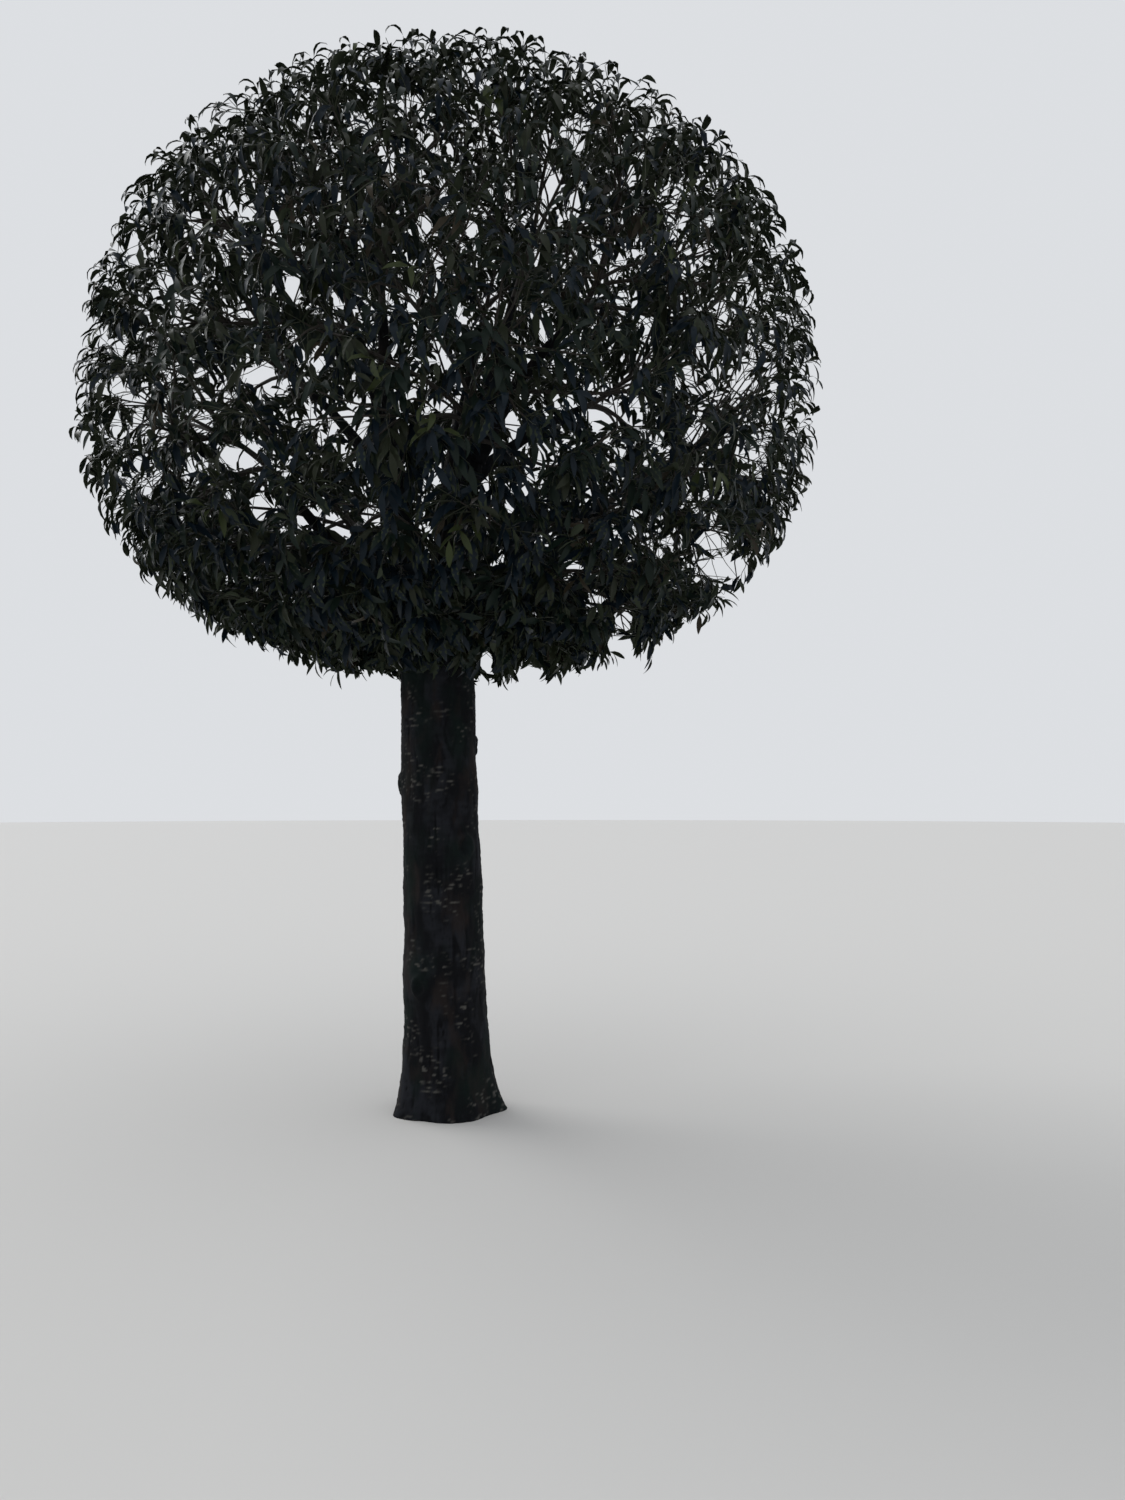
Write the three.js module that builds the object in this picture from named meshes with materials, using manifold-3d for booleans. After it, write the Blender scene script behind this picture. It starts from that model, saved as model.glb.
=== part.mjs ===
// A standard laurel topiary: a straight bare trunk that forks into boughs, under a clipped dome of leaves
// that the sky shows through. Millimetres, +Z up. The origin is the middle of the flat cut under the
// trunk, at ground level, and -Y is the front. The trunk, each bough and each mass of foliage is its own
// closed solid. Every leaf here is larger than life and stands for a spray of leaves.
import * as THREE from "three";
import { mergeVertices } from "three/addons/utils/BufferGeometryUtils.js";
import Module from "manifold-3d";

const wasm = await Module();
wasm.setup();

const UP = new THREE.Vector3(0, 0, 1);
const TURN = Math.PI * 2;

// The clear gap between two solids that meet, and how far a cutting copy is grown to leave it.
const MEETING_GAP = 0.3;
const CUT_GROWTH = 0.35;

const BARK = { colour: 0x3a322a, roughness: 0.9 };
const BOUGH_BARK = { colour: 0x41382e, roughness: 0.85 };
const LEAF_GREEN = { colour: 0x2c3f20, roughness: 0.45 };

// The clipped outline of the crown: a dome, squarer than an ellipsoid, with a shallower bowl under its
// widest line.
const CROWN = {
  middleX: 35,
  middleZ: 2500,
  radius: 1345,
  rise: 1185,
  drop: 880,
  squareAbove: 2.75,
  squareBelow: 2.23,
  lean: 0.04,
  clipWave: 0.012,
  waveLength: 220,
  wavesForward: 5,
  wavesBackward: 3,
};

const TRUNK = {
  height: 1950,
  footRadius: 154,
  neckRadius: 138,
  neckHeight: 1530,
  leanPerHeight: -0.028,
  flare: 48,
  flareHeight: 130,
  flareLobes: 5,
  lobeDepth: 0.3,
  lobeTurn: 0.6,
  ovalDepth: 0.018,
  flutes: 3,
  fluteDepth: 0.012,
  fluteTwist: 500,
  headSwell: 26,
  headStart: 1620,
  shoulder: 70,
  shoulderDrop: 30,
  footCrowding: 0.35,
  sides: 18,
  steps: 18,
};

// The rings of foliage masses, and the boughs that carry them. radius and height place the heart of each
// mass, turn is that of the first in degrees, reach is how far its bough goes to the heart, and root is
// where that leaves the trunk.
const RINGS = {
  top: { count: 3, turn: 195, radius: 330, height: 3190, baseRadius: 58, tipRadius: 17, reach: 0.76 },
  shoulder: { count: 5, turn: 20, radius: 740, height: 2910, baseRadius: 36, tipRadius: 13, reach: 0.72 },
  side: {
    count: 5, turn: 56, radius: 830, height: 2410, baseRadius: 46, tipRadius: 15, reach: 0.7, root: 1880,
  },
  skirt: {
    count: 5, turn: 20, radius: 590, height: 2045, baseRadius: 37, tipRadius: 14, reach: 0.56, root: 1765,
  },
};

const LIMB = {
  sides: 6,
  steps: 6,
  taperPower: 0.8,
  collar: 0.32,
  collarLength: 70,
  rootDepth: 60,
  spread: 66,
  elbowHeight: 2400,
  elbowRadius: 180,
  lift: 140,
  bendShare: 0.45,
  firstFork: 0.34,
  forkStep: 0.07,
  forkPlaces: 3,
  spans: 12,
};

// Twigs end at a share of the way to the outline. A leaf's width, thickness, camber and arch are shares of
// its length, and its root is sunk to the middle of the twig. Each further try at a leaf is thrown wider
// and shorter than the last.
const FOLIAGE = {
  firstSeed: 4201,
  seedStep: 37,
  stemSides: 5,
  stemStart: 0.85,
  stemEnd: 0.7,
  stemStep: 0.02,
  twigSides: 3,
  twigs: 118,
  twigShare: 0.81,
  twigBaseRadius: 20,
  twigTipRadius: 14,
  coreRadius: 240,
  coreDepth: 0.5,
  coreUnevenness: 0.3,
  coreDrawBack: 0.12,
  drawBack: 0.06,
  leavesPerTwig: 5,
  leafSpacing: 24,
  firstLeafPlace: 0.3,
  leafReach: 235,
  endLeafReach: 50,
  leastReach: 0.85,
  reachSpread: 0.3,
  reachStep: 0.1,
  azimuthSpread: 0.7,
  azimuthStep: 0.35,
  leafWidest: 0.56,
  leafWidth: 0.5,
  leafThickness: 0.05,
  leafCamber: 0.2,
  leafArch: 0.08,
  leafDroop: 60,
  leafTurn: 0.5,
  shortestLeaf: 140,
  tipShare: 0.998,
  cellGap: 2,
  limbClearance: 4,
  limbChecks: 8,
  rootShare: 0.1,
  clearWidth: 0.7,
  skyWidth: 0.6,
  tries: 8,
  mostNewFaces: 27,
  shortestEdge: 0.02,
};

// Straight lines of sight through the crown that stay open, from an eye in front of the tree through a
// point of the upright plane that holds the trunk. radius is the half-width of the opening in that plane.
const EYE = new THREE.Vector3(0, -4250, 1150);
const SKY_WINDOWS = [
  { x: -700, z: 2235, radius: 60 },
  { x: -480, z: 2205, radius: 55 },
  { x: -350, z: 2220, radius: 60 },
  { x: -1330, z: 2680, radius: 70 },
  { x: -700, z: 2740, radius: 60 },
  { x: 600, z: 2690, radius: 75 },
  { x: 960, z: 2560, radius: 70 },
  { x: 165, z: 3110, radius: 40 },
];

// A repeatable throw of the dice: numbers from 0 to 1 that follow from the seed.
function makeDice(seed) {
  let state = seed >>> 0;
  return () => {
    state = (Math.imul(state, 1664525) + 1013904223) >>> 0;
    return state / 4294967296;
  };
}

function smoothStep(from, to, value) {
  const t = THREE.MathUtils.clamp((value - from) / (to - from), 0, 1);
  return t * t * (3 - 2 * t);
}

// A point at a height, a distance from the crown's own axis, and a turn in degrees from +X towards +Y.
function crownPoint(turn, radius, height) {
  const angle = THREE.MathUtils.degToRad(turn);
  const axisX = CROWN.middleX + CROWN.lean * (height - CROWN.middleZ);
  return new THREE.Vector3(axisX + radius * Math.cos(angle), radius * Math.sin(angle), height);
}

// How far out a point lies: 0 at the crown's middle, 1 on the clipped outline.
function outlineShare(point) {
  const z = point.z - CROWN.middleZ;
  const x = point.x - CROWN.middleX - CROWN.lean * z;
  const power = z > 0 ? CROWN.squareAbove : CROWN.squareBelow;
  const half = z > 0 ? CROWN.rise : CROWN.drop;
  const across = Math.hypot(x, point.y) / CROWN.radius;
  const share = (across ** power + (Math.abs(z) / half) ** power) ** (1 / power);
  const turn = Math.atan2(point.y, x);
  const climb = z / CROWN.waveLength;
  const forward = Math.sin(CROWN.wavesForward * turn + climb);
  const wave = forward * Math.sin(CROWN.wavesBackward * turn - climb);
  return share / (1 - CROWN.clipWave * (1 - wave));
}

function crownMiddle() {
  return new THREE.Vector3(CROWN.middleX, 0, CROWN.middleZ);
}

// The point at a share of the way from the crown's middle to the outline, in a direction.
function pointAtShare(direction, share) {
  const far = crownMiddle().addScaledVector(direction, CROWN.radius);
  return crownMiddle().addScaledVector(direction, (CROWN.radius * share) / outlineShare(far));
}

// Points spread evenly over a sphere, as directions.
function evenDirections(count) {
  const golden = TURN * (1 - 1 / ((1 + Math.sqrt(5)) / 2));
  return Array.from({ length: count }, (_, i) => {
    const z = 1 - (2 * (i + 0.5)) / count;
    const across = Math.sqrt(1 - z * z);
    return new THREE.Vector3(across * Math.cos(golden * i), across * Math.sin(golden * i), z);
  });
}

// The closed solid of a three.js geometry.
function solidOf(geometry) {
  const bare = geometry.index ? geometry.toNonIndexed() : geometry.clone();
  bare.deleteAttribute("normal");
  bare.deleteAttribute("uv");
  const merged = mergeVertices(bare, 1e-3);
  return new wasm.Manifold(
    new wasm.Mesh({
      numProp: 3,
      vertProperties: new Float32Array(merged.attributes.position.array),
      triVerts: new Uint32Array(merged.index.array),
    }),
  );
}

function geometryOf(solid) {
  const { vertProperties, triVerts } = solid.getMesh();
  const geometry = new THREE.BufferGeometry();
  geometry.setAttribute("position", new THREE.BufferAttribute(new Float32Array(vertProperties), 3));
  geometry.setIndex(new THREE.BufferAttribute(new Uint32Array(triVerts), 1));
  return geometry;
}

// The largest body of a solid, with its close points welded: loose scraps and sealed hollows are left
// out.
function largestBody(solid) {
  const bodies = solidOf(geometryOf(solid)).decompose();
  return bodies.reduce((a, b) => (a.volume() > b.volume() ? a : b));
}

function meshOf(name, solid, finish) {
  const geometry = geometryOf(largestBody(solid));
  geometry.computeVertexNormals();
  const { colour, roughness } = finish;
  const material = new THREE.MeshStandardMaterial({ color: colour, roughness, metalness: 0 });
  const mesh = new THREE.Mesh(geometry, material);
  mesh.name = name;
  return mesh;
}

function trunkRadius(z, angle) {
  const upNeck = Math.min(z / TRUNK.neckHeight, 1);
  const taper = THREE.MathUtils.lerp(TRUNK.footRadius, TRUNK.neckRadius, upNeck);
  const lobes = 1 + TRUNK.lobeDepth * Math.cos(TRUNK.flareLobes * angle + TRUNK.lobeTurn);
  const flare = TRUNK.flare * Math.exp(-z / TRUNK.flareHeight) * lobes;
  const head = TRUNK.headSwell * smoothStep(TRUNK.headStart, TRUNK.height - TRUNK.shoulder, z);
  const shoulder = Math.max(z - (TRUNK.height - TRUNK.shoulder), 0) / TRUNK.shoulder;
  const oval = TRUNK.ovalDepth * Math.cos(2 * angle + TRUNK.lobeTurn);
  const flutes = TRUNK.fluteDepth * Math.cos(TRUNK.flutes * angle - z / TRUNK.fluteTwist);
  return (taper + flare + head) * (1 + oval + flutes) - TRUNK.shoulderDrop * shoulder ** 2;
}

// The trunk, from its flat cut on the ground to the head where it forks. grow widens a cutting copy.
function trunkSolid(grow = 0) {
  const geometry = new THREE.CylinderGeometry(1, 1, 1, TRUNK.sides, TRUNK.steps);
  const position = geometry.attributes.position;
  for (let i = 0; i < position.count; i++) {
    const x = position.getX(i);
    const y = position.getZ(i);
    const t = position.getY(i) + 0.5;
    // The rings crowd towards the foot, where the flare curves most.
    const z = TRUNK.height * THREE.MathUtils.lerp(t, t * t, TRUNK.footCrowding);
    const angle = Math.atan2(y, x);
    const onAxis = Math.hypot(x, y) < 0.5;
    const radius = onAxis ? 0 : trunkRadius(z, angle) + grow;
    const raised = Math.round(t * TRUNK.steps) === TRUNK.steps ? grow : 0;
    const out = new THREE.Vector3(radius * Math.cos(angle), radius * Math.sin(angle), raised);
    position.setXYZ(i, ...trunkAxis(z).add(out));
  }
  const solid = solidOf(geometry);
  return solid.volume() < 0 ? solidOf(flipped(geometry)) : solid;
}

// The same geometry with each face turned round.
function flipped(geometry) {
  const index = geometry.index.array;
  for (let i = 0; i < index.length; i += 3) [index[i + 1], index[i + 2]] = [index[i + 2], index[i + 1]];
  return geometry;
}

function limbRadius(limb, t) {
  const along = t * limb.length;
  const taper = THREE.MathUtils.lerp(limb.baseRadius, limb.tipRadius, t ** LIMB.taperPower);
  const past = Math.max(along - LIMB.rootDepth, 0);
  return taper + limb.baseRadius * LIMB.collar * Math.exp(-past / LIMB.collarLength);
}

// A round tapering rod along a limb's curve.
function limbSolid(limb, grow = 0) {
  const geometry = new THREE.CylinderGeometry(1, 1, 1, LIMB.sides, LIMB.steps);
  const frames = limb.curve.computeFrenetFrames(LIMB.steps, false);
  const position = geometry.attributes.position;
  for (let i = 0; i < position.count; i++) {
    const step = Math.round((0.5 - position.getY(i)) * LIMB.steps);
    const t = step / LIMB.steps;
    const radius = limbRadius(limb, t) + grow;
    const point = limb.curve.getPointAt(t);
    point.addScaledVector(frames.normals[step], position.getX(i) * radius);
    point.addScaledVector(frames.binormals[step], position.getZ(i) * radius);
    if (step === LIMB.steps) point.addScaledVector(frames.tangents[step], grow);
    position.setXYZ(i, point.x, point.y, point.z);
  }
  const solid = solidOf(geometry);
  return solid.volume() < 0 ? solidOf(flipped(geometry)) : solid;
}

function makeLimb(name, root, bend, tip, ring) {
  const curve = new THREE.QuadraticBezierCurve3(root, bend, tip);
  return {
    name,
    curve,
    length: curve.getLength(),
    baseRadius: ring.baseRadius,
    tipRadius: ring.tipRadius,
    points: curve.getSpacedPoints(LIMB.spans),
  };
}

function trunkAxis(z) {
  return new THREE.Vector3(TRUNK.leanPerHeight * z, 0, z);
}

// A limb of the top ring: it rises steeply from the trunk's head, bends at its elbow and runs on to its
// mass.
function risingLimb(number, outward, heart) {
  const root = trunkAxis(TRUNK.height - LIMB.rootDepth).addScaledVector(outward, LIMB.spread);
  const elbow = trunkAxis(LIMB.elbowHeight).addScaledVector(outward, LIMB.elbowRadius);
  const tip = elbow.clone().lerp(heart, RINGS.top.reach);
  return makeLimb(`rising_limb_${number}`, root, elbow, tip, RINGS.top);
}

// A shoulder bough leaves the rising limb that stands nearest to its mass.
function shoulderBough(number, heart, risers) {
  const gap = (limb) => limb.curve.getPointAt(1).distanceTo(heart);
  const parent = risers.reduce((a, b) => (gap(a) < gap(b) ? a : b));
  const root = parent.curve.getPointAt(LIMB.firstFork + LIMB.forkStep * (number % LIMB.forkPlaces));
  const bend = root.clone().lerp(heart, LIMB.bendShare).addScaledVector(UP, LIMB.lift / 2);
  const tip = root.clone().lerp(heart, RINGS.shoulder.reach);
  return makeLimb(`shoulder_bough_${number}`, root, bend, tip, RINGS.shoulder);
}

// A bough that goes out from the side of the trunk to a mass of its ring.
function lowBough(ringName, number, outward, heart) {
  const ring = RINGS[ringName];
  const root = trunkAxis(ring.root).addScaledVector(outward, TRUNK.neckRadius - LIMB.rootDepth);
  const bend = root.clone().lerp(heart, LIMB.bendShare);
  bend.z = root.z + LIMB.lift;
  return makeLimb(`${ringName}_bough_${number}`, root, bend, root.clone().lerp(heart, ring.reach), ring);
}

const limbs = [];
const masses = [];
for (const [ringName, ring] of Object.entries(RINGS)) {
  for (let number = 1; number <= ring.count; number++) {
    const turn = ring.turn + (360 * (number - 1)) / ring.count;
    const outward = new THREE.Vector3(1, 0, 0).applyAxisAngle(UP, THREE.MathUtils.degToRad(turn));
    const heart = crownPoint(turn, ring.radius, ring.height);
    let limb;
    if (ringName === "top") limb = risingLimb(number, outward, heart);
    else if (ringName === "shoulder") limb = shoulderBough(number, heart, limbs.slice(0, RINGS.top.count));
    else limb = lowBough(ringName, number, outward, heart);
    limbs.push(limb);
    masses.push({ name: `${ringName}_foliage_${number}`, heart, limb, twigs: [] });
  }
}

// How far a point lies inside its own mass's space: the least distance to the planes half-way to the
// other hearts.
function roomInSpace(point, mass) {
  const rooms = masses.filter((other) => other !== mass).map((other) => {
    const apart = other.heart.distanceTo(mass.heart);
    return (point.distanceToSquared(other.heart) - point.distanceToSquared(mass.heart)) / (2 * apart);
  });
  return Math.min(...rooms);
}

function staysInSpace(points, mass) {
  return points.every((p) => roomInSpace(p, mass) > FOLIAGE.cellGap && outlineShare(p) <= 1);
}

function nearestMass(point) {
  return masses.reduce((a, b) => (a.heart.distanceTo(point) < b.heart.distanceTo(point) ? a : b));
}

// The straight spans that stand for the limbs and the trunk's head, where twigs and leaves keep clear of
// them.
const limbSpans = limbs.flatMap((limb) =>
  limb.points.slice(1).map((end, i) => ({
    line: new THREE.Line3(limb.points[i], end),
    radius: limbRadius(limb, i / (limb.points.length - 1)),
  })),
);
limbSpans.push({
  line: new THREE.Line3(trunkAxis(TRUNK.neckHeight), trunkAxis(TRUNK.height)),
  radius: TRUNK.neckRadius + TRUNK.headSwell + FOLIAGE.limbClearance,
});

function clearOfLimbs(from, to, halfWidth) {
  const shares = Array.from({ length: FOLIAGE.limbChecks }, (_, i) => i / (FOLIAGE.limbChecks - 1));
  return shares.every((t) => {
    const p = from.clone().lerp(to, t);
    return limbSpans.every(({ line, radius }) => {
      const nearest = line.closestPointToPoint(p, true, new THREE.Vector3());
      return nearest.distanceTo(p) > radius + halfWidth + FOLIAGE.limbClearance;
    });
  });
}

// Whether a point, grown by a margin, stands in one of the open lines of sight.
function blocksSky(point, margin = 0) {
  return SKY_WINDOWS.some((w) => {
    const target = new THREE.Vector3(w.x, 0, w.z);
    const ray = new THREE.Ray(EYE, target.clone().sub(EYE).normalize());
    const scale = point.distanceTo(EYE) / target.distanceTo(EYE);
    return ray.distanceToPoint(point) < w.radius * scale + margin;
  });
}

// A straight tapering stick with flat ends.
function stick(from, to, startRadius, endRadius, sides) {
  const along = to.clone().sub(from);
  const length = along.length();
  const geometry = new THREE.CylinderGeometry(endRadius, startRadius, length, sides, 1);
  geometry.translate(0, length / 2, 0);
  const cylinderAxis = new THREE.Vector3(0, 1, 0);
  geometry.applyQuaternion(new THREE.Quaternion().setFromUnitVectors(cylinderAxis, along.normalize()));
  geometry.translate(from.x, from.y, from.z);
  return solidOf(geometry);
}

// The six corners of a leaf of eight faces: root and tip, two edges, and the top and underside of its
// arched middle.
function leafCorners(root, tip, outward, turn) {
  const along = tip.clone().sub(root);
  const length = along.length();
  along.normalize();
  const side = new THREE.Vector3().crossVectors(outward, along).normalize().applyAxisAngle(along, turn);
  const face = new THREE.Vector3().crossVectors(along, side);
  const middle = root.clone().lerp(tip, FOLIAGE.leafWidest);
  middle.addScaledVector(face, FOLIAGE.leafArch * length);
  const halfWidth = (FOLIAGE.leafWidth * length) / 2;
  const halfThickness = (FOLIAGE.leafThickness * length) / 2;
  return {
    root,
    tip,
    left: middle.clone().addScaledVector(side, halfWidth),
    right: middle.clone().addScaledVector(side, -halfWidth),
    above: middle.clone().addScaledVector(face, halfThickness * (1 + FOLIAGE.leafCamber)),
    below: middle.clone().addScaledVector(face, -halfThickness * (1 - FOLIAGE.leafCamber)),
    halfWidth,
  };
}

function leafSolid({ root, tip, left, right, above, below }) {
  const geometry = new THREE.OctahedronGeometry(1);
  const position = geometry.attributes.position;
  for (let i = 0; i < position.count; i++) {
    const [x, y, z] = [position.getX(i), position.getY(i), position.getZ(i)].map(Math.round);
    const ends = x > 0 ? tip : root;
    const edges = y > 0 ? left : right;
    const faces = z > 0 ? above : below;
    const corner = x ? ends : y ? edges : faces;
    position.setXYZ(i, corner.x, corner.y, corner.z);
  }
  return solidOf(geometry);
}

// A leaf from near a twig's end to the outline, on one side of the twig. It is drawn back until it has
// room, and there is none where it has no room at all.
function growLeaf(mass, twig, number, azimuth, reach, dice) {
  const down = FOLIAGE.leafSpacing * (number + FOLIAGE.firstLeafPlace);
  const inward = mass.heart.clone().sub(twig.to).setLength(down);
  const root = twig.to.clone().add(inward);
  const outward = twig.to.clone().sub(crownMiddle()).normalize();
  const level = new THREE.Vector3().crossVectors(UP, outward).normalize();
  const sideways = level.applyAxisAngle(outward, azimuth).multiplyScalar(reach);
  const aim = twig.to.clone().add(sideways).addScaledVector(UP, -FOLIAGE.leafDroop);
  const tip = pointAtShare(aim.sub(crownMiddle()).normalize(), FOLIAGE.tipShare);
  const turn = (dice() - 0.5) * FOLIAGE.leafTurn;
  for (; tip.distanceTo(root) > FOLIAGE.shortestLeaf; tip.lerp(root, FOLIAGE.drawBack)) {
    const corners = leafCorners(root, tip, outward, turn);
    const { left, right, above, below, halfWidth } = corners;
    if (!staysInSpace([tip, left, right, above, below], mass)) continue;
    const free = root.clone().lerp(tip, FOLIAGE.rootShare);
    if (!clearOfLimbs(free, tip, halfWidth * FOLIAGE.clearWidth)) continue;
    if ([tip, left, right].some((p) => blocksSky(p))) return null;
    if (blocksSky(above, halfWidth * FOLIAGE.skyWidth)) return null;
    return leafSolid(corners);
  }
  return null;
}

// The dense middle of a mass, flattened to lie along the outline.
function coreSolid(mass, dice) {
  const geometry = new THREE.BufferGeometry();
  geometry.setAttribute("position", new THREE.IcosahedronGeometry(1, 0).attributes.position);
  const merged = mergeVertices(geometry, 1e-3);
  const outward = mass.heart.clone().sub(crownMiddle()).normalize();
  const position = merged.attributes.position;
  for (let i = 0; i < position.count; i++) {
    const p = new THREE.Vector3().fromBufferAttribute(position, i).multiplyScalar(FOLIAGE.coreRadius);
    p.addScaledVector(outward, (FOLIAGE.coreDepth - 1) * p.dot(outward));
    p.multiplyScalar(1 + FOLIAGE.coreUnevenness * (2 * dice() - 1)).add(mass.heart);
    const free = () => staysInSpace([p], mass) && !blocksSky(p);
    for (let tries = 0; tries < 2 * FOLIAGE.tries && !free(); tries++) {
      p.lerp(mass.heart, FOLIAGE.coreDrawBack);
    }
    position.setXYZ(i, p.x, p.y, p.z);
  }
  return solidOf(merged);
}

// Twigs run from the heart of each mass to points spread evenly inside the outline.
for (const direction of evenDirections(FOLIAGE.twigs)) {
  const to = pointAtShare(direction, FOLIAGE.twigShare);
  const mass = nearestMass(to);
  if (!clearOfLimbs(mass.heart, to, FOLIAGE.twigBaseRadius)) continue;
  if (staysInSpace([to], mass) && !blocksSky(to)) mass.twigs.push({ to });
}

function shortestEdge(solid) {
  const { vertProperties, triVerts } = solid.getMesh();
  const corner = (i) => new THREE.Vector3().fromArray(vertProperties, triVerts[i] * 3);
  let shortest = Infinity;
  for (let i = 0; i < triVerts.length; i++) {
    const next = i % 3 === 2 ? i - 2 : i + 1;
    shortest = Math.min(shortest, corner(i).distanceTo(corner(next)));
  }
  return shortest;
}

// A body with a piece joined on, or nothing where that would cut deep into the body or leave too short an
// edge.
function joined(body, piece, mostNewFaces = Infinity) {
  const whole = body.add(piece);
  if (whole.numTri() - body.numTri() > mostNewFaces) return null;
  return shortestEdge(whole) > FOLIAGE.shortestEdge ? whole : null;
}

// The first result of a few tries that is there at all.
function firstOf(makeTry) {
  for (let attempt = 0; attempt < FOLIAGE.tries; attempt++) {
    const result = makeTry(attempt);
    if (result) return result;
  }
  return null;
}

// The stem runs on from the bough's tip to the heart of its mass.
function stemSolid({ heart, limb: { curve, tipRadius } }) {
  const end = curve.getTangentAt(1);
  const foot = curve.getPointAt(1).addScaledVector(end, MEETING_GAP);
  const knee = foot.clone().addScaledVector(end, tipRadius * 2);
  const overlap = knee.clone().addScaledVector(end, -tipRadius);
  const lower = stick(foot, knee, tipRadius, tipRadius, FOLIAGE.stemSides);
  return firstOf((attempt) => {
    const start = tipRadius * (FOLIAGE.stemStart - FOLIAGE.stemStep * attempt);
    return joined(lower, stick(overlap, heart, start, tipRadius * FOLIAGE.stemEnd, FOLIAGE.stemSides));
  });
}

// The leaves at a twig's end, one straight on and the others round it. One that would cut deep into
// another is turned and shortened, or left out.
function growRosette(body, mass, twig, dice) {
  const first = dice() * TURN;
  const step = TURN / (FOLIAGE.leavesPerTwig - 1);
  let grown = body;
  for (let number = 0; number < FOLIAGE.leavesPerTwig; number++) {
    const longest = number === 0 ? FOLIAGE.endLeafReach : FOLIAGE.leafReach;
    const next = firstOf((attempt) => {
      const spread = FOLIAGE.azimuthSpread + FOLIAGE.azimuthStep * attempt;
      const azimuth = first + step * (number + (dice() - 0.5) * spread);
      const share = FOLIAGE.leastReach + FOLIAGE.reachSpread * dice() - FOLIAGE.reachStep * attempt;
      const leaf = growLeaf(mass, twig, number, azimuth, longest * share, dice);
      return leaf && joined(grown, leaf, FOLIAGE.mostNewFaces);
    });
    grown = next ?? grown;
  }
  return grown;
}

// A mass: its stem, the core round its heart, its twigs, and their leaves.
function growMass(mass, seed) {
  const dice = makeDice(seed);
  const stem = stemSolid(mass);
  let body = firstOf(() => joined(stem, coreSolid(mass, dice)));
  for (const { to } of mass.twigs) {
    const twigSolid = (thicker) =>
      stick(mass.heart, to, FOLIAGE.twigBaseRadius + thicker, FOLIAGE.twigTipRadius, FOLIAGE.twigSides);
    body = firstOf((attempt) => joined(body, twigSolid(attempt))) ?? body;
  }
  for (const twig of mass.twigs) body = growRosette(body, mass, twig, dice);
  return body;
}

const tree = new THREE.Group();
tree.add(meshOf("trunk", trunkSolid(), BARK));

const cutters = [trunkSolid(CUT_GROWTH)];
for (const limb of limbs) {
  const solid = cutters.reduce((body, cutter) => body.subtract(cutter), limbSolid(limb));
  cutters.push(limbSolid(limb, CUT_GROWTH));
  tree.add(meshOf(limb.name, solid, BOUGH_BARK));
}

masses.forEach((mass, i) => {
  const seed = FOLIAGE.firstSeed + FOLIAGE.seedStep * i;
  tree.add(meshOf(mass.name, growMass(mass, seed), LEAF_GREEN));
});

export default tree;
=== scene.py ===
"""A standard laurel topiary, dressed for rendering: barked trunk and boughs, twigs and single leaves.

Every object is in metres, in the frame of the solids. The crown grows by their rule: each mass of foliage
has a heart, a stem that comes to it from its bough, and branches that run to points spread evenly inside
the clipped outline. Two finer orders of twigs and the leaves follow it here.
"""

import math
from collections import namedtuple
from types import SimpleNamespace as Values

import bmesh
import bpy
import numpy as np
from bpy.props import FloatProperty, FloatVectorProperty, IntProperty, PointerProperty
from bpy.types import Operator, Panel, PropertyGroup
from mathutils import Matrix, Vector, noise


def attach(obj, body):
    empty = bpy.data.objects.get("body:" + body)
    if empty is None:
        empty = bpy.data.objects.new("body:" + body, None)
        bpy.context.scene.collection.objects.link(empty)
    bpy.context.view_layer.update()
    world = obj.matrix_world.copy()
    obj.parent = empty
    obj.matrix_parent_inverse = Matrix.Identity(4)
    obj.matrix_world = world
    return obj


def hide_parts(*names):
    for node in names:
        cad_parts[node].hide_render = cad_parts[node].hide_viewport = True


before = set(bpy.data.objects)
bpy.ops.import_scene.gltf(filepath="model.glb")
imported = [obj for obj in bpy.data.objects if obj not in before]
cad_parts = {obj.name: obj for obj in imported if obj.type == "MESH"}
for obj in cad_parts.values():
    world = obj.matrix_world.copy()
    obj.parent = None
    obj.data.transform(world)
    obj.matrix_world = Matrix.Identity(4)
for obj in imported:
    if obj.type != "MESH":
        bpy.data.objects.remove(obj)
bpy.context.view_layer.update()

bl_info = {
    "name": "Standard laurel topiary",
    "version": (1, 0, 0),
    "blender": (4, 5, 0),
    "location": "3D View > Sidebar > Laurel",
    "description": "Dresses the solids of a clipped standard laurel in bark, twigs and leaves",
    "category": "Object",
}

UP = np.array((0.0, 0.0, 1.0))
TURN = 2 * math.pi
TINY = 1e-9
GOLDEN_TURN = TURN * (1 - 2 / (1 + math.sqrt(5)))

# The rings of foliage masses and their boughs. radius and height place the heart of each mass, turn is that
# of the first in degrees, reach is how far its bough goes to the heart, and root is where that leaves the
# trunk.
RINGS = {
    "top": Values(count=3, turn=195, radius=0.33, height=3.19, base=0.058, tip=0.017, reach=0.76),
    "shoulder": Values(count=5, turn=20, radius=0.74, height=2.91, base=0.036, tip=0.013, reach=0.72),
    "side": Values(count=5, turn=56, radius=0.83, height=2.41, base=0.046, tip=0.015, reach=0.7, root=1.88),
    "skirt": Values(
        count=5, turn=20, radius=0.59, height=2.045, base=0.037, tip=0.014, reach=0.56, root=1.765
    ),
}
BOUGHS = {"top": "rising_limb", "shoulder": "shoulder_bough", "side": "side_bough", "skirt": "skirt_bough"}

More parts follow.
